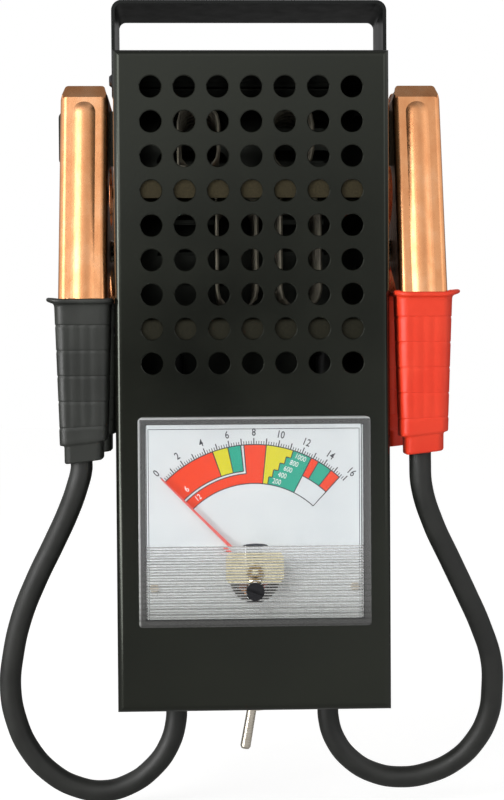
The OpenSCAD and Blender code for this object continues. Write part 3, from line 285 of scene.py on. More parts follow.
# %% Pale floor
FLOOR_LIFT, FLOOR_GLOW, MIRROR_LIFT = 0.55, 1.52, 0.8
LEFT_TO_RIGHT = {1: -90, 2: 140, 3: 0.34, 4: 0.66}
FRONT_TO_BACK = {1: -200, 2: 250, 3: 1.0, 4: 0.12}
floor_paint, shader, place = new_material("matt_white_floor_paint")
rolled = grain(floor_paint, place, (6, 6, 6))
finish(floor_paint, shader, rolled, [(0.3, "#e4e4e2"), (0.7, "#ebebea")], rolled, (0.85, 0.95))
seen, mirrored = studio_rays(floor_paint)
on_floor = add(floor_paint, "SeparateXYZ", links={0: place}).outputs
to_right = add(floor_paint, "MapRange", LEFT_TO_RIGHT, {0: on_floor["X"]})
in_front = add(floor_paint, "MapRange", FRONT_TO_BACK, {0: on_floor["Y"]})
mirror_glow = add(floor_paint, "Math", links={0: to_right.outputs[0], 1: in_front.outputs[0]},
                  operation="MULTIPLY")
surface = shader.outputs[0]
for share, rays, strength in ((MIRROR_LIFT, mirrored, {"Strength": mirror_glow.outputs[0]}),
                              (FLOOR_LIFT, seen, {})):
    glow = add(floor_paint, "Emission", {"Color": hex_colour(WHITE), "Strength": FLOOR_GLOW}, strength)
    lift = add(floor_paint, "Math", {1: share}, {0: rays}, operation="MULTIPLY")
    mix = add(floor_paint, "MixShader", links={0: lift.outputs[0], 1: surface, 2: glow.outputs[0]})
    surface = mix.outputs[0]
floor_paint.links.new(surface, floor_paint.nodes["Material Output"].inputs["Surface"])

FLOOR_Z, FLOOR_HALF = -0.353, 4.0
corners = [(x * FLOOR_HALF, y * FLOOR_HALF, FLOOR_Z) for x, y in ((-1, -1), (1, -1), (1, 1), (-1, 1))]
floor_mesh = bpy.data.meshes.new("studio_floor")
floor_mesh.from_pydata(corners, [], [(0, 1, 2, 3)])
floor_mesh.materials.append(owner(floor_paint))
floor = bpy.data.objects.new("studio_floor", floor_mesh)
bpy.context.scene.collection.objects.link(floor)
print("floor at", FLOOR_Z)

# %% [markdown]
# The room is white to the eye. What the enamel and the copper mirror is a
# soft sky: bright overhead and dim below the horizon, as in a room lit from
# its ceiling, with a paler wall in front on the right. These gradients are
# why the case is lighter at its top and its right than at its left foot.
# Each soft step reads one axis of the ray and goes from one value to another.

# %% Room
SKY_LIGHT = 0.42
WALL_DIMS_CEILING, WALL_GLOW = -0.22, 0.58
SOFT_STEPS = (
    ("wall_starts", "X", -0.02, 0.2, 0.0, 1.0), ("wall_ends", "X", 0.3, 0.6, 1.0, 0.0),
    ("wall_in_front", "Y", -0.2, 0.2, 1.0, 0.0), ("horizon", "X", -0.055, 0.0, 0.0, 0.07),
    ("zenith", "Z", 0.7, 0.95, 0.0, 0.7), ("far_end", "Y", 0.0, 0.8, 1.0, 0.35),
)
CEILING_STEP = {1: -0.04, 2: 0.15, 3: 0.02, 4: 1.0}
world = bpy.data.worlds.new("soft_room")
world.use_nodes = True
sky = world.node_tree
room = sky.nodes["Background"]
room.inputs["Color"].default_value = hex_colour(WHITE)
seen, mirrored = studio_rays(sky)
ray = add(sky, "SeparateXYZ", links={0: add(sky, "TexCoord").outputs["Generated"]}).outputs
soft = {}
for name, axis, start, end, low, high in SOFT_STEPS:
    step = add(sky, "MapRange", {1: start, 2: end, 3: low, 4: high}, {0: ray[axis]},
               interpolation_type="SMOOTHSTEP")
    soft[name] = step.outputs[0]
above = add(sky, "Math", links={0: ray["Z"], 1: soft["horizon"]}, operation="SUBTRACT")
soft["ceiling"] = add(sky, "MapRange", CEILING_STEP, {0: above.outputs[0]},
                      interpolation_type="SMOOTHSTEP").outputs[0]
print("soft steps:", ", ".join(soft))

# %% [markdown]
# The steps are put together in a short chain of sums. The wall is a band
# between two steps and hides a little of the ceiling, and everything grows
# dim towards the far end of the room, behind the object.

# %% Mirrored room
for name, operation, first, second in (
        ("wall_band", "MULTIPLY", "wall_ends", "wall_in_front"),
        ("wall", "MULTIPLY", "wall_starts", "wall_band"), ("lit_ceiling", "SUBTRACT", "ceiling", "zenith")):
    soft[name] = add(sky, "Math", links={0: soft[first], 1: soft[second]}, operation=operation).outputs[0]
soft["shaded"] = add(sky, "Math", {1: WALL_DIMS_CEILING, 2: 1.0}, {0: soft["wall"]},
                     operation="MULTIPLY_ADD").outputs[0]
soft["pale"] = add(sky, "Math", {1: WALL_GLOW}, {0: soft["wall"]}, operation="MULTIPLY").outputs[0]
for name, operation, first, second in (
        ("above_wall", "MULTIPLY", "lit_ceiling", "shaded"), ("room", "MAXIMUM", "above_wall", "pale"),
        ("mirror_sky", "MULTIPLY", "room", "far_end")):
    soft[name] = add(sky, "Math", links={0: soft[first], 1: soft[second]}, operation=operation).outputs[0]
bounce = add(sky, "Mix", {2: SKY_LIGHT}, {0: mirrored, 3: soft["mirror_sky"]})
strength = add(sky, "Mix", {3: 1.0}, {0: seen, 2: bounce.outputs[0]})
sky.links.new(strength.outputs[0], room.inputs["Strength"])
bpy.context.scene.world = world
print("sky has", len(sky.nodes), "nodes")

# %% [markdown]
# Soft light comes from large rectangles: one above and to the left that
# makes the bright lines down the copper, and one on the right that fills
# the shadows. A small low one lights the toggle, and one at the left draws
# the bright line down the case's left bend.

# %% Lamps
def soft_box(name, place, aim, width, height, watts):
    """A rectangular area lamp that points at a spot."""
    data = bpy.data.lights.new(name, "AREA")
    data.shape = "RECTANGLE"
    data.size, data.size_y = width, height
    data.energy = watts
    lamp = bpy.data.objects.new(name, data)
    bpy.context.scene.collection.objects.link(lamp)
    lamp.location = place
    lamp.rotation_euler = (Vector(aim) - Vector(place)).to_track_quat("-Z", "Y").to_euler()
    print(name, "gives", watts, "W")


MIDDLE, TOGGLE_END = (0, 0, -0.17), (0, 0, -0.32)
soft_box("key_light", (-0.75, -1.0, 0.45), MIDDLE, 0.6, 0.9, 5.9)
soft_box("fill_light", (0.95, -0.9, 0.1), MIDDLE, 0.5, 1.0, 1.15)
soft_box("low_light", (-0.35, -0.35, -0.3), TOGGLE_END, 0.15, 0.1, 0.25)
soft_box("edge_light", (-0.85, -0.5, -0.2), MIDDLE, 0.35, 0.5, 5.2)

# %% [markdown]
# ## Finishes
# The case is folded sheet steel with stoved black enamel. Sprayed enamel
# levels to a fine orange peel, ripples about 1.2 mm across and a few
# microns deep, which blurs its reflections, and handling leaves duller
# patches some 30 mm across.

# %% Stoved black enamel
enamel, shader, place = new_material("stoved_black_enamel", IOR=1.5, Specular_Tint=hex_colour("#f8fff0"))
peel = grain(enamel, place, (1.2, 1.2, 1.2))
patches = grain(enamel, place, (34, 34, 34), detail=5)
finish(enamel, shader, patches, [(0.3, "#0c0d0a"), (0.7, "#12130e")], patches, (0.15, 0.2), (peel, 0.012))
dress(enamel, "front_shell", "back_cover", "clamp_rest_left", "clamp_rest_right")

# %% [markdown]
# The strap is bent from thicker bar and was dipped, not sprayed. Dipped
# enamel dries to a duller satin skin, so it mirrors less of the ceiling.

# %% Dipped enamel
dipped, shader, place = new_material("dipped_black_enamel", IOR=1.5, Specular_IOR_Level=0.25)
drips = grain(dipped, place, (9, 9, 20), detail=4)
finish(dipped, shader, drips, [(0.3, "#0c0e0d"), (0.7, "#121514")], drips, (0.3, 0.4), (drips, 0.02))
dress(dipped, "carry_handle")

# %% [markdown]
# Screws and rivets are blackened steel: thin dark oxide over turned metal,
# so they shine a little more than the paint round them.

# %% Blackened steel
black_steel, shader, place = new_material("blackened_steel", Metallic=0.75)
fine = grain(black_steel, place, (0.5, 0.5, 0.5))
finish(black_steel, shader, fine, [(0.3, "#26262a"), (0.8, "#3a3a3c")], fine, (0.3, 0.48), (fine, 0.02))
dress(black_steel, "cover_screws", "handle_rivets", "rest_rivets", "bracket_screws", "zero_screw")

# %% [markdown]
# The clamps are pressed from steel and plated with bright copper. The
# strip was drawn through rolls before it was plated, so faint streaks run
# along the lever, and fingers have browned it in soft blotches. A metal's
# colour is its reflection, so Metallic is 1 and the tone does the rest.

# %% Bright copper plate
copper, shader, place = new_material("bright_copper_plate", Metallic=1.0)
streaks = grain(copper, place, (0.9, 0.9, 60), detail=4)
blotches = grain(copper, place, (9, 9, 16), detail=5, rough=0.6)
finish(copper, shader, blotches, [(0.25, "#dd9563"), (0.5, "#eba774"), (0.75, "#f3b88a")],
       streaks, (0.24, 0.34), (blotches, 0.04), (streaks, 0.006))
dress(copper, "jaw_front_left", "jaw_front_right", "jaw_rear_left", "jaw_rear_right", "bus_links",
      "moving_coil")

# %% [markdown]
# The toggle, its bushing and nut and the clamp pins are nickel plated:
# a warm white metal, smooth from the turning lathe.

# %% Nickel plate
nickel, shader, place = new_material("nickel_plate", Metallic=1.0)
turned = grain(nickel, place, (6, 6, 0.5))
finish(nickel, shader, turned, [(0.3, "#e2d8c6"), (0.7, "#f0e8da")], turned, (0.22, 0.34), (turned, 0.02))
dress(nickel, "toggle_lever", "switch_nuts", "switch_body", "jaw_pin_left", "jaw_pin_right",
      "dial_screws", "meter_nuts")

# %% [markdown]
# The leads wear a rubber jacket. Extruded rubber is nearly matt, with fine
# pores in its skin and a bloom of grey dust that gathers in soft clouds.

# %% Rubber jacket
rubber, shader, place = new_material("extruded_rubber", IOR=1.5)
bloom = grain(rubber, place, (14, 14, 14), detail=6, rough=0.65)
pores = grain(rubber, place, (0.7, 0.7, 0.7))
finish(rubber, shader, bloom, [(0.3, "#191a18"), (0.75, "#282926")], bloom, (0.42, 0.62), (pores, 0.05))
for side in ("left", "right"):
    bpy.data.objects["rubber_lead_" + side].data.materials.append(owner(rubber))
dress(rubber, "lead_grommets", "inner_lead_left", "inner_lead_right", "lead_end_left", "lead_end_right")

# %% [markdown]
# The handles' boots are moulded soft vinyl, red for plus and black for
# minus. Vinyl comes out of a smooth mould with a satin skin, and it shows
# faint flow marks where the melt ran along the handle.

# %% Moulded vinyl, red and black
def vinyl(name, dark, light):
    """Satin soft vinyl between two tones."""
    tree, shader, place = new_material(name, IOR=1.5)
    flow = grain(tree, place, (16, 16, 22), detail=5)
    skin = grain(tree, place, (0.9, 0.9, 0.9))
    finish(tree, shader, flow, [(0.3, dark), (0.7, light)], flow, (0.38, 0.52), (flow, 0.25), (skin, 0.03))
    print(name, "from", dark, "to", light)
    return tree


black_vinyl = vinyl("moulded_vinyl_black", "#222421", "#30322e")
red_vinyl = vinyl("moulded_vinyl_red", "#ee3416", "#f64526")

# %% [markdown]
# Inside, two boards carry ceramic rails and the coils. They are pressed
# from resin filled with mineral fibres. The boards are tan, painted dark as
# painted shade, since they sit in shadow behind the vents, and the lower one
# is painted nearly black below as deeper painted shade.

# %% Bracket boards
SHADE_DEEPENS_FROM, DEEPEST_SHADE_BELOW = -110, -125
board, shader, place = new_material("mineral_filled_board", IOR=1.5, Specular_IOR_Level=0.12)
fibres = grain(board, place, (0.8, 3, 0.8), detail=5)
shaded_tan = finish(board, shader, fibres, [(0.3, "#2d281b"), (0.7, "#403a29")], fibres, (0.65, 0.85),
               (fibres, 0.08))
# painted shade: nearly black tones, mixed in towards the lower board
deep_shade_tones = add(board, "ValToRGB", links={"Fac": fibres}, stops=[(0.3, "#1b1b13"), (0.7, "#2a281e")])
board_z = add(board, "SeparateXYZ", links={0: place}).outputs["Z"]
painted_shade_below = add(board, "MapRange", {1: DEEPEST_SHADE_BELOW, 2: SHADE_DEEPENS_FROM, 3: 1, 4: 0}, {0: board_z})
tan = add(board, "Mix", links={0: painted_shade_below.outputs[0], 6: shaded_tan, 7: deep_shade_tones.outputs["Color"]}, data_type="RGBA")
board.links.new(tan.outputs[2], shader.inputs["Base Color"])
dress(board, "upper_bracket", "lower_bracket")

# %% [markdown]
# The rails and bushes are fired ceramic, a chalky white left as it came
# from the kiln, without glaze.

# %% Ceramic
ceramic, shader, place = new_material("fired_ceramic", IOR=1.6)
chalk = grain(ceramic, place, (2, 2, 2), detail=5)
finish(ceramic, shader, chalk, [(0.3, "#cfc8b6"), (0.7, "#e4dfd0")], chalk, (0.55, 0.75), (chalk, 0.06))
dress(ceramic, "ceramic_rails", "ceramic_bushes")

# %% [markdown]
# The coils are nickel-chrome wire with a grey oxide scale from their own
# heat. The clamps' springs were coiled from drawn wire and tempered in oil,
# which leaves them darker and smoother.

# %% Coil wire and spring wire
alloy, shader, place = new_material("oxidised_resistance_wire", Metallic=0.85)
scale = grain(alloy, place, (1.5, 1.5, 6), detail=4)
finish(alloy, shader, scale, [(0.3, "#524e47"), (0.7, "#7c7768")], scale, (0.4, 0.62), (scale, 0.04))
dress(alloy, "coil_upper_left", "coil_upper_right", "coil_lower_left", "coil_lower_right")

spring_wire, shader, place = new_material("oil_tempered_spring_wire", Metallic=0.9)
drawn = grain(spring_wire, place, (0.6, 0.6, 3))
finish(spring_wire, shader, drawn, [(0.3, "#4b4a48"), (0.7, "#77756f")], drawn, (0.28, 0.45), (drawn, 0.02))
dress(spring_wire, "jaw_spring_left", "jaw_spring_right", "spring_arm_left", "spring_arm_right")

# %% [markdown]
# The movement behind the dial is brass and magnet steel. Turned brass is
# yellow and bright with the marks of the tool, and the ground steel ring
# is a plain dark grey.

# %% Brass and magnet steel
brass, shader, place = new_material("turned_brass", Metallic=1.0)
tool_marks = grain(brass, place, (0.4, 4, 0.4))
finish(brass, shader, tool_marks, [(0.3, "#b08d4a"), (0.7, "#d9bd7c")], tool_marks, (0.2, 0.36),
       (tool_marks, 0.01))
dress(brass, "hairsprings", "zero_arm", "switch_terminals")

magnet, shader, place = new_material("ground_magnet_steel", Metallic=0.9)
ground = grain(magnet, place, (0.5, 0.5, 5))
finish(magnet, shader, ground, [(0.3, "#505358"), (0.7, "#7e8186")], ground, (0.3, 0.5), (ground, 0.02))
dress(magnet, "meter_magnet", "meter_core")

# %% [markdown]
# The bridge that holds the jewels is moulded nylon, and the meter's base is
# black phenolic, pressed hot in a steel mould, which leaves its filler as a
# fine speckle under a glossy skin.

# %% Moulded bridge and base
cream, shader, place = new_material("cream_moulded_nylon", IOR=1.53)
melt = grain(cream, place, (5, 5, 5))
finish(cream, shader, melt, [(0.3, "#d8cda6"), (0.7, "#e6dcb8")], melt, (0.35, 0.5), (melt, 0.02))
dress(cream, "jewel_bridge")

thermoset, shader, place = new_material("black_phenolic", IOR=1.55)
filler = grain(thermoset, place, (0.6, 0.6, 0.6))
finish(thermoset, shader, filler, [(0.3, "#161618"), (0.8, "#232326")], filler, (0.3, 0.45), (filler, 0.015))
dress(thermoset, "meter_base")

# %% [markdown]
# The meter's cover is clear styrene, moulded like glass but lighter, with
# an IOR of 1.59 and a faint swirl of the melt. Its lower part is moulded in
# fine level ribs. Painted shade lies as dark lines in their grooves, darkest
# at the foot, and the plastic is tinted grey towards the foot as painted
# shade, for what the ribs refract and mirror.

# %% Clear styrene and its ribs
RIB_TOP, RIB_FOOT = -229.6, -262.0
RIB_FIRST, RIB_PITCH = -259.8, 1.16
SWIRL_DEPTH = 0.02
GROOVE_LINE = {1: 0.1, 2: 0.6, 3: 1, 4: 0}
GROOVE_SHADE = {1: 0, 2: 1, 3: 0.5, 4: 0.0}
styrene, shader, place = new_material("clear_styrene", IOR=1.59, Transmission_Weight=1.0)
swirl = grain(styrene, place, (26, 26, 26), detail=2)
swell = add(styrene, "Bump", {"Strength": 1.0, "Distance": SWIRL_DEPTH * MM}, {"Height": swirl})
styrene.links.new(swell.outputs[0], shader.inputs["Normal"])
at_mm = add(styrene, "SeparateXYZ", links={0: place}).outputs
ribbed = add(styrene, "Math", {1: RIB_TOP}, {0: at_mm["Z"]}, operation="LESS_THAN")
height = add(styrene, "MapRange", {1: RIB_FOOT, 2: RIB_TOP, 3: 0, 4: 1}, {0: at_mm["Z"]}).outputs[0]
# painted shade: the ribbed plastic is tinted greyer towards its foot
shade_towards_foot = add(styrene, "ValToRGB", links={"Fac": height},
             stops=[(0.0, "#cacac6"), (0.3, "#fafaf8"), (0.6, "#fcfcfa"), (1.0, WHITE)])
counted = add(styrene, "Math", {1: 1 / RIB_PITCH, 2: -RIB_FIRST / RIB_PITCH}, {0: at_mm["Z"]},
              operation="MULTIPLY_ADD")
to_ridge = add(styrene, "Math", {1: 1.0}, {0: counted.outputs[0]}, operation="PINGPONG")
# painted shade: a dark line in each groove, darker towards the foot
line = add(styrene, "MapRange", GROOVE_LINE, {0: to_ridge.outputs[0]})
groove_shade_depth = add(styrene, "MapRange", GROOVE_SHADE, {0: height})
groove_shade = add(styrene, "Math", links={0: line.outputs[0], 1: groove_shade_depth.outputs[0]}, operation="MULTIPLY")
groove_shaded = add(styrene, "Mix", {7: hex_colour("#303030")}, {0: groove_shade.outputs[0], 6: shade_towards_foot.outputs["Color"]},
            data_type="RGBA")
tint = add(styrene, "Mix", {6: hex_colour("#fdfefe")}, {0: ribbed.outputs[0], 7: groove_shaded.outputs[2]},
           data_type="RGBA")
styrene.links.new(tint.outputs[2], shader.inputs["Base Color"])
print("ribs:", round((RIB_TOP - RIB_FIRST) / RIB_PITCH))

# %% [markdown]
# The cover's left and top faces are frosted white, a painted highlight
# where light from the upper left catches the rim, and its walls are a
# little dull. Each span is in millimetres, from clear plastic to frosted
# and back. Where the cover is frosted, and a little where it is dull, it
# lets less light through and is rougher.

# %% Frosted rim, a painted highlight
COVER_MID = -219.6
LEFT_FACE = (-47.2, -46.9)
TOP_FACE = (COVER_MID + 42.2, COVER_MID + 42.5)
SIDE_WALLS, END_WALLS = (44.6, 45.2), (39.9, 40.5)
FROST_HIGHLIGHT, DULL = 0.3, 0.1
across = add(styrene, "Math", links={0: at_mm["X"]}, operation="ABSOLUTE")
above_middle = add(styrene, "Math", {1: -COVER_MID}, {0: at_mm["Z"]}, operation="ADD")
upright = add(styrene, "Math", links={0: above_middle.outputs[0]}, operation="ABSOLUTE")
left, top, sides, ends = [
    add(styrene, "MapRange", {1: start, 2: end, 3: low, 4: high}, {0: axis}).outputs[0]
    for axis, (start, end), low, high in (
        (at_mm["X"], LEFT_FACE, 1, 0), (at_mm["Z"], TOP_FACE, 0, 1),
        (across.outputs[0], SIDE_WALLS, 0, DULL), (upright.outputs[0], END_WALLS, 0, DULL))]
faces = add(styrene, "Math", links={0: left, 1: top}, operation="MAXIMUM")
walls = add(styrene, "Math", links={0: sides, 1: ends}, operation="MAXIMUM")
# painted highlight: left and top faces frosted white, walls a little dull
frost_highlight_and_dull = add(styrene, "Math", {1: FROST_HIGHLIGHT}, {0: faces.outputs[0], 2: walls.outputs[0]},
              operation="MULTIPLY_ADD")
for socket, most, clear, at_full_frost in (("Transmission Weight", 1.0, 1.0, 0.0), ("Roughness", 0.4, 0.02, 0.4)):
    wear = add(styrene, "MapRange", {1: 0, 2: most, 3: clear, 4: at_full_frost}, {0: frost_highlight_and_dull.outputs[0]})
    styrene.links.new(wear.outputs[0], shader.inputs[socket])
print("frosted faces let", 1 - FROST_HIGHLIGHT, "of the light through, dull walls", 1 - DULL)

# %% [markdown]
# Cycles would cast a full shadow under a glass shader. So for shadow rays
# the cover is simply transparent, and the dial behind it stays lit.

# %% Light through the cover
light_ray = add(styrene, "LightPath")
bare = add(styrene, "BsdfTransparent", {"Color": hex_colour("#f6f7f7")})
shadow_mix = add(styrene, "MixShader", links={0: light_ray.outputs["Is Shadow Ray"], 1: shader.outputs[0],
                                              2: bare.outputs[0]})
styrene.links.new(shadow_mix.outputs[0], styrene.nodes["Material Output"].inputs["Surface"])
dress(styrene, "meter_lens")

# %% [markdown]
# ## The dial
# The dial is a thin plate, sprayed with white enamel and stoved. The
# pointer is red, with lacquer brushed on along its length.

# %% Dial enamel and pointer lacquer
dial_white, shader, place = new_material("white_dial_enamel", IOR=1.5, Specular_IOR_Level=0.3)
cloud = grain(dial_white, place, (18, 18, 18), detail=4)
speckle = grain(dial_white, place, (0.8, 0.8, 0.8))
finish(dial_white, shader, cloud, [(0.3, "#dadee1"), (0.7, "#e2e5e7")], cloud, (0.32, 0.42), (speckle, 0.01))
dress(dial_white, "dial_plate")

pointer_red, shader, place = new_material("red_pointer_lacquer", IOR=1.5)
brushed_on = grain(pointer_red, place, (1, 1, 5))
finish(pointer_red, shader, brushed_on, [(0.3, "#e0524e"), (0.7, "#ea6a64")], brushed_on, (0.4, 0.55),
       (brushed_on, 0.01))
dress(pointer_red, "meter_pointer")

# %% [markdown]
# The scale is screen-printed: ink is pushed through a fine mesh, which
# leaves a faint mottle in each flat colour.

# %% Printing inks
def ink(name, dark, light):
    """A printing ink between two close tones."""
    tree, shader, place = new_material(name, IOR=1.5, Specular_IOR_Level=0.2)
    mottle = grain(tree, place, (0.35, 0.35, 0.35))
    finish(tree, shader, mottle, [(0.3, dark), (0.7, light)], mottle, (0.35, 0.5), (mottle, 0.008))
    print(name, "from", dark, "to", light)
    return tree


INKS = {
    "red": ink("red_printing_ink", "#f23600", "#f84408"),
    "yellow": ink("yellow_printing_ink", "#d8ce10", "#e2d820"),
    "green": ink("green_printing_ink", "#0fa086", "#18ae92"),
    "black": ink("black_printing_ink", "#2a2c34", "#3a3c46"),
    "white": ink("white_printing_ink", "#f2f3f4", "#fafafa"),
}

# %% [markdown]
# The ink is real geometry: thin solid shapes just in front of the plate.
# The scale turns about the pointer's pivot, from 45 degrees left of upright
# to 45 degrees right. A point of the print is given by its radius in
# millimetres and its angle from upright. Each layer of ink stands 0.03 mm
# further out than the one below, and a slab reaches back almost to the plate.

# %% Shapes of ink
PIVOT_UP = -240.4
PRINT_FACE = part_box("dial_plate")[0].y / MM
INK_T = 0.03
INK_FILL = 0.96


def on_dial(radius, angle, layer=0):
    """A point in front of the dial, in metres."""
    turn = math.radians(angle)
    face = PRINT_FACE - INK_T * (layer + 1)
    return Vector((radius * math.sin(turn), face, PIVOT_UP + radius * math.cos(turn))) * MM


def print_shape(parts, outline, layer=0):
    """Adds a closed outline on the dial to a bmesh as a thin slab of ink."""
    front = [parts.verts.new(p) for p in outline]
    back = [parts.verts.new(p + Vector((0, INK_T * (layer + 1) * MM * INK_FILL, 0))) for p in outline]
    parts.faces.new(front)
    parts.faces.new(back[::-1])
    for i in range(len(outline)):
        j = (i + 1) % len(outline)
        parts.faces.new((front[j], front[i], back[i], back[j]))


print("print lies at y", round(PRINT_FACE, 3))

# %% [markdown]
# Most of the print is ring sectors and short lines along a radius. A sector
# follows its arc in steps of at most 1.5 degrees, and a line's width in
# millimetres becomes an angle at its middle.

# %% Sectors and radial lines
ARC_STEP = 1.5


def band(parts, r_low, r_high, a_low, a_high, layer=0):
    """A ring sector of ink."""
    steps = max(1, math.ceil(abs(a_high - a_low) / ARC_STEP))
    angles = [a_low + (a_high - a_low) * i / steps for i in range(steps + 1)]
    arc = [on_dial(r_high, a, layer) for a in angles] + [on_dial(r_low, a, layer) for a in angles[::-1]]
    print_shape(parts, arc, layer)


def radial(parts, r_low, r_high, angle, width, layer=0):
    """A straight line of ink along a radius."""
    half = math.degrees(width / 2 / ((r_low + r_high) / 2))
    print_shape(parts, [on_dial(r_low, angle - half, layer), on_dial(r_high, angle - half, layer),
                        on_dial(r_high, angle + half, layer), on_dial(r_low, angle + half, layer)], layer)


print("a quarter turn takes", math.ceil(90 / ARC_STEP), "steps")

# %% [markdown]
# Loose faces become a piece of the object when they get a name, a body to
# ride on and a slot for their paint.

# %% Pieces from shapes
def make_piece(name, parts, tree, body):
    """Turns a bmesh into a piece of the object that rides on a body."""
    bmesh.ops.recalc_face_normals(parts, faces=parts.faces)
    mesh = bpy.data.meshes.new(name)
    parts.to_mesh(mesh)
    parts.free()
    mesh.materials.append(owner(tree))
    made = bpy.data.objects.new(name, mesh)
    bpy.context.scene.collection.objects.link(made)
    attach(made, body)
    print(name, "has", len(mesh.polygons), "faces")
    return made


# %% [markdown]
# Two ranges share the rings: a small battery's on the left half and the
# large battery's across the bottom and right, with a white strip between.
# The yellow and green of the large one meet in steps, because the limit
# depends on the battery's size. A short band of three fields ends the scale.

# %% Colour bands
R_IN, R_SPLIT, R_LINE, R_OUT, R_BOX = 36.1, 40.3, 41.4, 52.3, 44.0
START, SMALL_YELLOW, SMALL_GREEN = -45, -19.2, -12
STRIP, LARGE_RED, LARGE_YELLOW = -6.0, -4.6, 5.7
BOX, BOX_GREEN, BOX_RED, BOX_END = 27.2, 31.0, 37.8, 42.8
STEPS = [(48.9, R_OUT, 18.3), (45.8, 48.9, 16.0), (42.5, 45.8, 13.7), (39.3, 42.5, 11.1), (R_IN, 39.3, 9.0)]
FIELDS = {
    "red": ("pointer_red", [
        (R_LINE, R_OUT, START, SMALL_YELLOW), (R_IN, R_SPLIT, START, LARGE_RED),
        (R_IN, R_OUT, LARGE_RED, LARGE_YELLOW), (R_BOX, R_OUT, BOX, BOX_GREEN),
        (R_BOX, R_OUT, BOX_RED, BOX_END)]),
    "yellow": ("dial_paint", [
        (R_LINE, R_OUT, SMALL_YELLOW, SMALL_GREEN),
        *((low, high, LARGE_YELLOW, limit) for low, high, limit in STEPS)]),
    "green": ("dial_paint", [
        (R_LINE, R_OUT, SMALL_GREEN, STRIP), *((low, high, limit, BOX) for low, high, limit in STEPS),
        (R_BOX, R_OUT, BOX_GREEN, BOX_RED)]),
}
for colour, (slot, fields) in FIELDS.items():
    parts = bmesh.new()
    for r_low, r_high, a_low, a_high in fields:
        band(parts, r_low, r_high, a_low, a_high)
    make_piece("dial_" + colour, parts, INKS[colour], "case")

# %% [markdown]
# Thin black lines bound the bands: arcs along the rings, radial lines where
# the colours change, and a stair along the steps of yellow and green.

# %% Outlines
LINE_W, RING_END = 0.4, 43
black = bmesh.new()
for r, a_low, a_high in ((R_OUT, START, RING_END), (R_IN, START, RING_END), (R_LINE, START, STRIP),
                         (R_SPLIT, START, LARGE_RED), (R_BOX, BOX, BOX_END)):
    band(black, r - LINE_W / 2, r + LINE_W / 2, a_low, a_high, 1)
for angle, low, high in ((START, R_IN, R_OUT), (SMALL_YELLOW, R_LINE, R_OUT), (SMALL_GREEN, R_LINE, R_OUT),
                         (STRIP, R_LINE, R_OUT), (LARGE_RED, R_SPLIT, R_OUT), (LARGE_YELLOW, R_IN, R_OUT),
                         (BOX, R_IN, R_OUT), (BOX_GREEN, R_BOX, R_OUT), (BOX_RED, R_BOX, R_OUT),
                         (BOX_END, R_IN, R_OUT)):
    radial(black, low, high, angle, LINE_W, 1)
for (low, high, limit), (_, _, next_limit) in zip(STEPS, STEPS[1:]):
    radial(black, low, high, limit, LINE_W, 1)
    band(black, low - LINE_W / 2, low + LINE_W / 2, next_limit, limit, 1)
low, high, limit = STEPS[-1]
radial(black, low, high, limit, LINE_W, 1)
print("black faces so far:", len(black.faces))

# %% [markdown]
# There is a long tick at every whole number on the scale and four fine ones
# between. One thin line runs round the whole dial just inside its edge, and
# a black ellipse under the top of the ribs is painted shade, where the
# opening in the dial lies dark.

# %% Ticks, frame and painted shade of the slot
HIGHEST, FINE_STEPS = 16, 5
DEGREES_PER_VOLT = 90 / HIGHEST
LONG_TICK, FINE_TICK = (2.7, 0.45), (1.5, 0.3)
for i in range(HIGHEST * FINE_STEPS + 1):
    length, width = FINE_TICK if i % FINE_STEPS else LONG_TICK
    radial(black, R_OUT, R_OUT + length, START + i / FINE_STEPS * DEGREES_PER_VOLT, width)

FRAME_X, FRAME_TOP, FRAME_FOOT, FRAME_W = 43.9, -181.6, -258.0, 0.25
bars = [(x - FRAME_W / 2, x + FRAME_W / 2, FRAME_FOOT, FRAME_TOP) for x in (-FRAME_X, FRAME_X)]
bars += [(-FRAME_X, FRAME_X, z - FRAME_W / 2, z + FRAME_W / 2) for z in (FRAME_FOOT, FRAME_TOP)]
# painted shade: a black ellipse where the dial's opening lies in shadow
SLOT_X, SLOT_Z, SLOT_HALF_W, SLOT_HALF_H = 0.4, -230.3, 5.2, 0.9
turns = [math.radians(10 * i) for i in range(36)]
shade_slot_edge = [(SLOT_X + SLOT_HALF_W * math.cos(a), SLOT_Z + SLOT_HALF_H * math.sin(a)) for a in turns]
flat_shapes = [((x_low, z_low), (x_high, z_low), (x_high, z_high), (x_low, z_high))
               for x_low, x_high, z_low, z_high in bars]
for shape in flat_shapes + [shade_slot_edge]:
    print_shape(black, [Vector((x, PRINT_FACE - INK_T, z)) * MM for x, z in shape])
print("black faces so far:", len(black.faces))

# %% [markdown]
# Blender's own font gives plain numbers. Each number becomes a mesh, is
# narrowed, turned to stand along its radius and joined to the print of its
# colour. A capital of that font is 1 / 1.4 of its size high.

# %% Numbers
FONT_SIZE, NARROWED = 1.4, 0.8


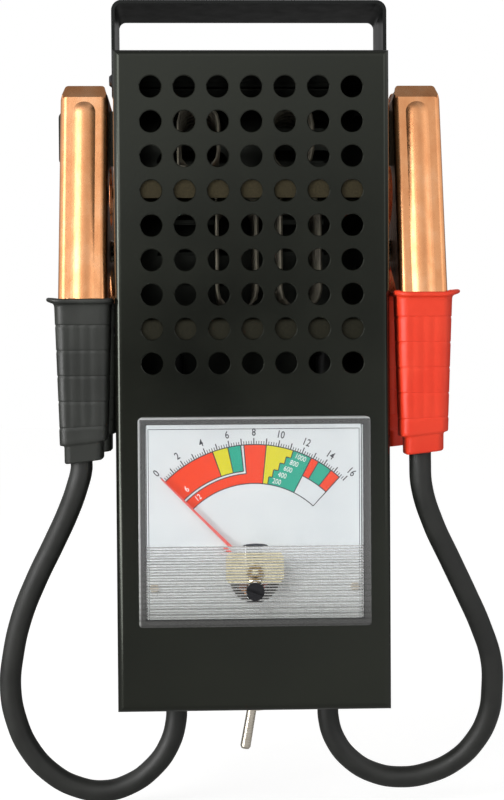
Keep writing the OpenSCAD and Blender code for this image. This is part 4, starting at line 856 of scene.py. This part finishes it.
def number(parts, text, radius, angle, height, layer=0, bold=0.0):
    """Adds a number to a bmesh, centred at a place on the dial and standing along its radius."""
    words = bpy.data.curves.new("number", "FONT")
    words.body = text
    words.size = height * FONT_SIZE * MM
    words.align_x = "CENTER"
    words.align_y = "CENTER"
    words.extrude = INK_T * MM / 2
    words.offset = bold * MM
    words.resolution_u = 3
    holder = bpy.data.objects.new("number", words)
    bpy.context.scene.collection.objects.link(holder)
    bpy.context.view_layer.update()
    mesh = bpy.data.meshes.new_from_object(holder.evaluated_get(bpy.context.evaluated_depsgraph_get()))
    mesh.transform(Matrix.Translation(on_dial(radius, angle, layer))
                   @ Matrix.Rotation(math.radians(angle), 4, "Y") @ Matrix.Rotation(math.pi / 2, 4, "X")
                   @ Matrix.Scale(NARROWED, 4, (1, 0, 0)))
    parts.from_mesh(mesh)
    bpy.data.objects.remove(holder)
    bpy.data.meshes.remove(mesh)


NUMBER_R, NUMBER_H, BOLDER = 57.3, 3.1, 0.05
for volts in range(0, HIGHEST + 1, 2):
    number(black, str(volts), NUMBER_R, START + volts * DEGREES_PER_VOLT, NUMBER_H, bold=BOLDER)
make_piece("dial_black", black, INKS["black"], "case")

white = bmesh.new()
for text, radius, angle, height in (
        ("1000", 50.4, 22.6, 2.2), ("800", 47.2, 20.7, 2.2), ("600", 44.1, 18.7, 2.2),
        ("400", 41.0, 16.6, 2.2), ("200", 37.9, 14.4, 2.2), ("6", 44.0, -39.5, 2.8),
        ("12", 38.2, -37.5, 2.4)):
    number(white, text, radius, angle, height, 2)
make_piece("dial_white", white, INKS["white"], "case")

# %% [markdown]
# ## Boots
# A boot is a soft sleeve pushed over the end of a lever. Its section is a
# rounded rectangle. One function walks round such a section and gives a
# point and the direction in which the skin faces there.

# %% Boot sections
def section_point(half_w, half_d, corner, share):
    """A point of a rounded rectangle at a share of the way round, and its outward direction."""
    straight_w, straight_d = half_w - corner, half_d - corner
    arc = math.pi / 2 * corner
    lengths = [straight_d, arc, 2 * straight_w, arc, 2 * straight_d, arc, 2 * straight_w, arc, straight_d]
    walk = share * sum(lengths)
    for i, length in enumerate(lengths):
        if walk <= length or i == len(lengths) - 1:
            break
        walk -= length
    side = i // 2
    quarter = math.radians(90 * side)
    if i % 2:
        angle = quarter + walk / corner
        out = Vector((math.cos(angle), math.sin(angle)))
        x, y = ((1, 1), (-1, 1), (-1, -1), (1, -1))[side]
        return Vector((x * straight_w, y * straight_d)) + out * corner, out
    out = Vector((math.cos(quarter), math.sin(quarter)))
    along = Vector((-out.y, out.x))
    reach, half = (half_d, straight_w) if side % 2 else (half_w, straight_d)
    start = -half if i else 0
    return out * reach + along * (start + walk), out


quarter_way, faces = section_point(10, 8, 2, 0.25)
print("a quarter of the way round 20 x 16 mm:", [round(v, 2) for v in quarter_way],
      "faces", [round(v, 2) for v in faces])

# %% [markdown]
# The boot tapers to the lead, with a thin flared flange at the mouth, fine
# steps every 10.65 mm that help the fingers grip, and shallow upright
# facets between the first step and the last. Each level of its skin is a
# row: height, half width, half depth, flare, sink of the step and whether
# it has facets.

# %% Boot profile
MOUTH_Z, BOOT_LEN = -22.0, 68.6
BOOT_END = MOUTH_Z - BOOT_LEN
NECK_TOP, SLEEVE_TOP = BOOT_END + 8, MOUTH_Z - 3.3
SLEEVE_W, SLEEVE_D = 11.65, 10.25
TAPER_W, TAPER_D = 1.7, 1.75
FOOT_IN_W, FOOT_IN_D, NECK_IN = 1.9, 1.2, 0.25
RING_PITCH, RINGS_FROM = 10.65, SLEEVE_TOP + 2.8
RINGS = [RINGS_FROM - RING_PITCH * i for i in range(5, 0, -1)]
FIRST_LEVEL, LEVEL_STEP, CLEAR_BELOW, CLEAR_ABOVE = NECK_TOP + 0.6, 1.5, 1.7, 1.2
FOOT_ROWS = ((0, -0.7), (0.35, -0.2), (0.9, 0), (7.0, 0.05), (7.6, 0.3))
BELOW_RING = ((-1.4, 0.03), (-0.5, 0.14), (-0.12, 0.24))
ABOVE_RING = ((0.0, 0.22), (0.1, 0.05), (0.4, 0.0))
FLANGE_ROWS = ((-0.4, 0.0), (0.4, 0.1), (0.9, 0.4), (1.15, 1.0), (1.3, 1.6), (1.6, 2.0), (2.2, 2.15),
               (2.8, 2.0), (3.15, 1.6), (3.3, 0.9))


def sleeve(z):
    """Half width and half depth of the sleeve at a height."""
    part = (SLEEVE_TOP - z) / (SLEEVE_TOP - NECK_TOP)
    return SLEEVE_W - TAPER_W * part, SLEEVE_D - TAPER_D * part


def boot_profile():
    """All levels of the boot's skin, from its foot to its mouth."""
    w, d = sleeve(NECK_TOP)
    rows = [(BOOT_END + up, w - FOOT_IN_W + out, d - FOOT_IN_D + out, 0, 0, 0) for up, out in FOOT_ROWS]
    rows.append((NECK_TOP, w - NECK_IN, d - NECK_IN, 0, 0, 0))
    z = FIRST_LEVEL
    for ring in RINGS + [SLEEVE_TOP + 1]:
        while z < ring - CLEAR_BELOW:
            rows.append((z, *sleeve(z), 0, 0, RINGS[0] < z < RINGS[-1]))
            z += LEVEL_STEP
        if ring in RINGS:
            for steps, faceted in ((BELOW_RING, ring > RINGS[0]), (ABOVE_RING, ring < RINGS[-1])):
                rows += [(ring + up, *sleeve(ring), 0, sink, faceted) for up, sink in steps]
            z = ring + CLEAR_ABOVE
    rows += [(SLEEVE_TOP + up, *sleeve(SLEEVE_TOP), flare, 0, 0) for up, flare in FLANGE_ROWS]
    return rows


print("boot levels:", len(boot_profile()))

# %% [markdown]
# The flange is soft: it flares freely away from the case, is pressed flat
# against its side and sags in front. So the flare is scaled by the
# direction in which the skin faces. The foot is pulled askew by the lead.
# The sag is read off the picture for each clamp.

# %% Soft mouth and foot
CLAMPS = {-1: (-71.2, 0.0, 0.4), 1: (72.5, 2.7, 0.9)}
HANDLE_MID, PIN_Z = 31.0, -104.7
FLANGE_RISE, FOOT_LEAN = 0.25, 0.12
AWAY_GROWS, TOWARDS_SHRINKS = 0.55, 0.45
MOUTH_FROM, MOUTH_SPAN, FOOT_SPAN = SLEEVE_TOP - 6, 8, 12
FACET_EVERY, FACET_AT, FACET_DEPTH = 4.35, -0.96, 0.22


def ease(value):
    """A smooth step from 0 to 1."""
    value = min(1.0, max(0.0, value))
    return value * value * (3 - 2 * value)


def settled(point, z, out, side, front, flare=0.0):
    """The place of a boot's vertex: side is -1 left or 1 right, front is -1 front or 1 rear."""
    across, up, sag = CLAMPS[side]
    mouth = ease((z - MOUTH_FROM) / MOUTH_SPAN)
    foot = ease((NECK_TOP + FOOT_SPAN - z) / FOOT_SPAN)
    lift = FLANGE_RISE * max(0.0, out.x * side) ** 2 * flare - mouth * sag * max(0.0, out.y * front) ** 2
    lift += foot * FOOT_LEAN * point.x
    return (Vector((point.x, point.y, z + lift)) + Vector((across, front * HANDLE_MID, PIN_Z + up))) * MM


def pushed_out(point, out, side, flare, sink, faceted):
    """A point of the skin, moved by the flange's flare, the step's sink and the facets."""
    along = ((point.x if abs(out.y) > abs(out.x) else point.y) - FACET_AT) / FACET_EVERY - 0.5
    facet = FACET_DEPTH * faceted * (2 * abs(along - round(along))) ** 2
    away = out.x * side
    grow = flare * (1.0 + AWAY_GROWS * max(0.0, away) - TOWARDS_SHRINKS * max(0.0, -away))
    return point + out * (grow - sink - facet)


print("foot leans", FOOT_LEAN, "and the facets are", FACET_EVERY, "mm wide")

# %% [markdown]
# A stack of sections is skinned into one closed mesh, outside from foot to
# mouth and inside back down: a square-cornered pocket for the lever, then a
# round bore for the lead.

# %% Boot mesh
BOOT_AROUND, OUTER_CORNER, POCKET_CORNER = 96, 0.42, 0.5
POCKET = ((MOUTH_Z, 10.6, 7.9), (MOUTH_Z - 0.5, 10.3, 7.2), (MOUTH_Z - 5, 10.3, 6.8))
BORE = ((MOUTH_Z - 5.2, 6.4), (BOOT_END + 12, 5.6), (BOOT_END + 11, 4.8), (BOOT_END, 4.8))
LEAD_SIDE = -1.3


def boot(name, side, front, tree, body, stands_for):
    """One boot at its place: side is -1 left or 1 right, front is -1 front or 1 rear."""
    parts = bmesh.new()
    shares = [i / BOOT_AROUND for i in range(BOOT_AROUND)]
    stack = []
    for z, half_w, half_d, flare, sink, faceted in boot_profile():
        section = [section_point(half_w, half_d, OUTER_CORNER * half_d, share) for share in shares]
        stack.append([settled(pushed_out(point, out, side, flare, sink, faceted), z, out, side, front, flare)
                      for point, out in section])
    for z, half_w, half_d in POCKET:
        section = [section_point(half_w, half_d, POCKET_CORNER, share) for share in shares]
        stack.append([settled(point, z, out, side, front) for point, out in section])
    for z, radius in BORE:
        turns = [math.tau * share for share in shares]
        circle = [Vector((radius * math.cos(turn) + LEAD_SIDE, radius * math.sin(turn))) for turn in turns]
        stack.append([settled(point, z, Vector((0, 0)), side, front) for point in circle])
    levels = [[parts.verts.new(place) for place in level] for level in stack]
    for low, high in zip(levels, levels[1:] + levels[:1]):
        for i in range(BOOT_AROUND):
            j = (i + 1) % BOOT_AROUND
            parts.faces.new((low[i], low[j], high[j], high[i]))
    made = make_piece(name, parts, tree, body)
    made.data.shade_smooth()
    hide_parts(stands_for)


for side_name, side, tree, slot in (("left", -1, black_vinyl, "black_vinyl"),
                                    ("right", 1, red_vinyl, "red_vinyl")):
    boot("front_sleeve_" + side_name, side, -1, tree, "case", "boot_front_" + side_name)
    boot("rear_sleeve_" + side_name, side, 1, tree, "clamp_" + side_name, "boot_rear_" + side_name)

# %% [markdown]
# Pressed sheet never has a knife edge. A small bevel on the CAD pieces'
# sharp edges catches a line of light, which is what tells the eye that an
# edge is real metal.

# %% Softened edges
SHARP_FROM = math.radians(40)


def soften(width, *names):
    """Rounds a CAD piece's sharp edges by a bevel, in millimetres."""
    for name in names:
        bevel = nodes[name].modifiers.new("soft_edges", "BEVEL")
        bevel.width = width * MM
        bevel.segments = 2
        bevel.limit_method = "ANGLE"
        bevel.angle_limit = SHARP_FROM
        print(name, "has edges of", width, "mm")


soften(0.3, "carry_handle", "clamp_rest_left", "clamp_rest_right")
soften(0.4, "front_shell")
soften(0.35, "meter_base")
soften(0.9, "meter_lens")
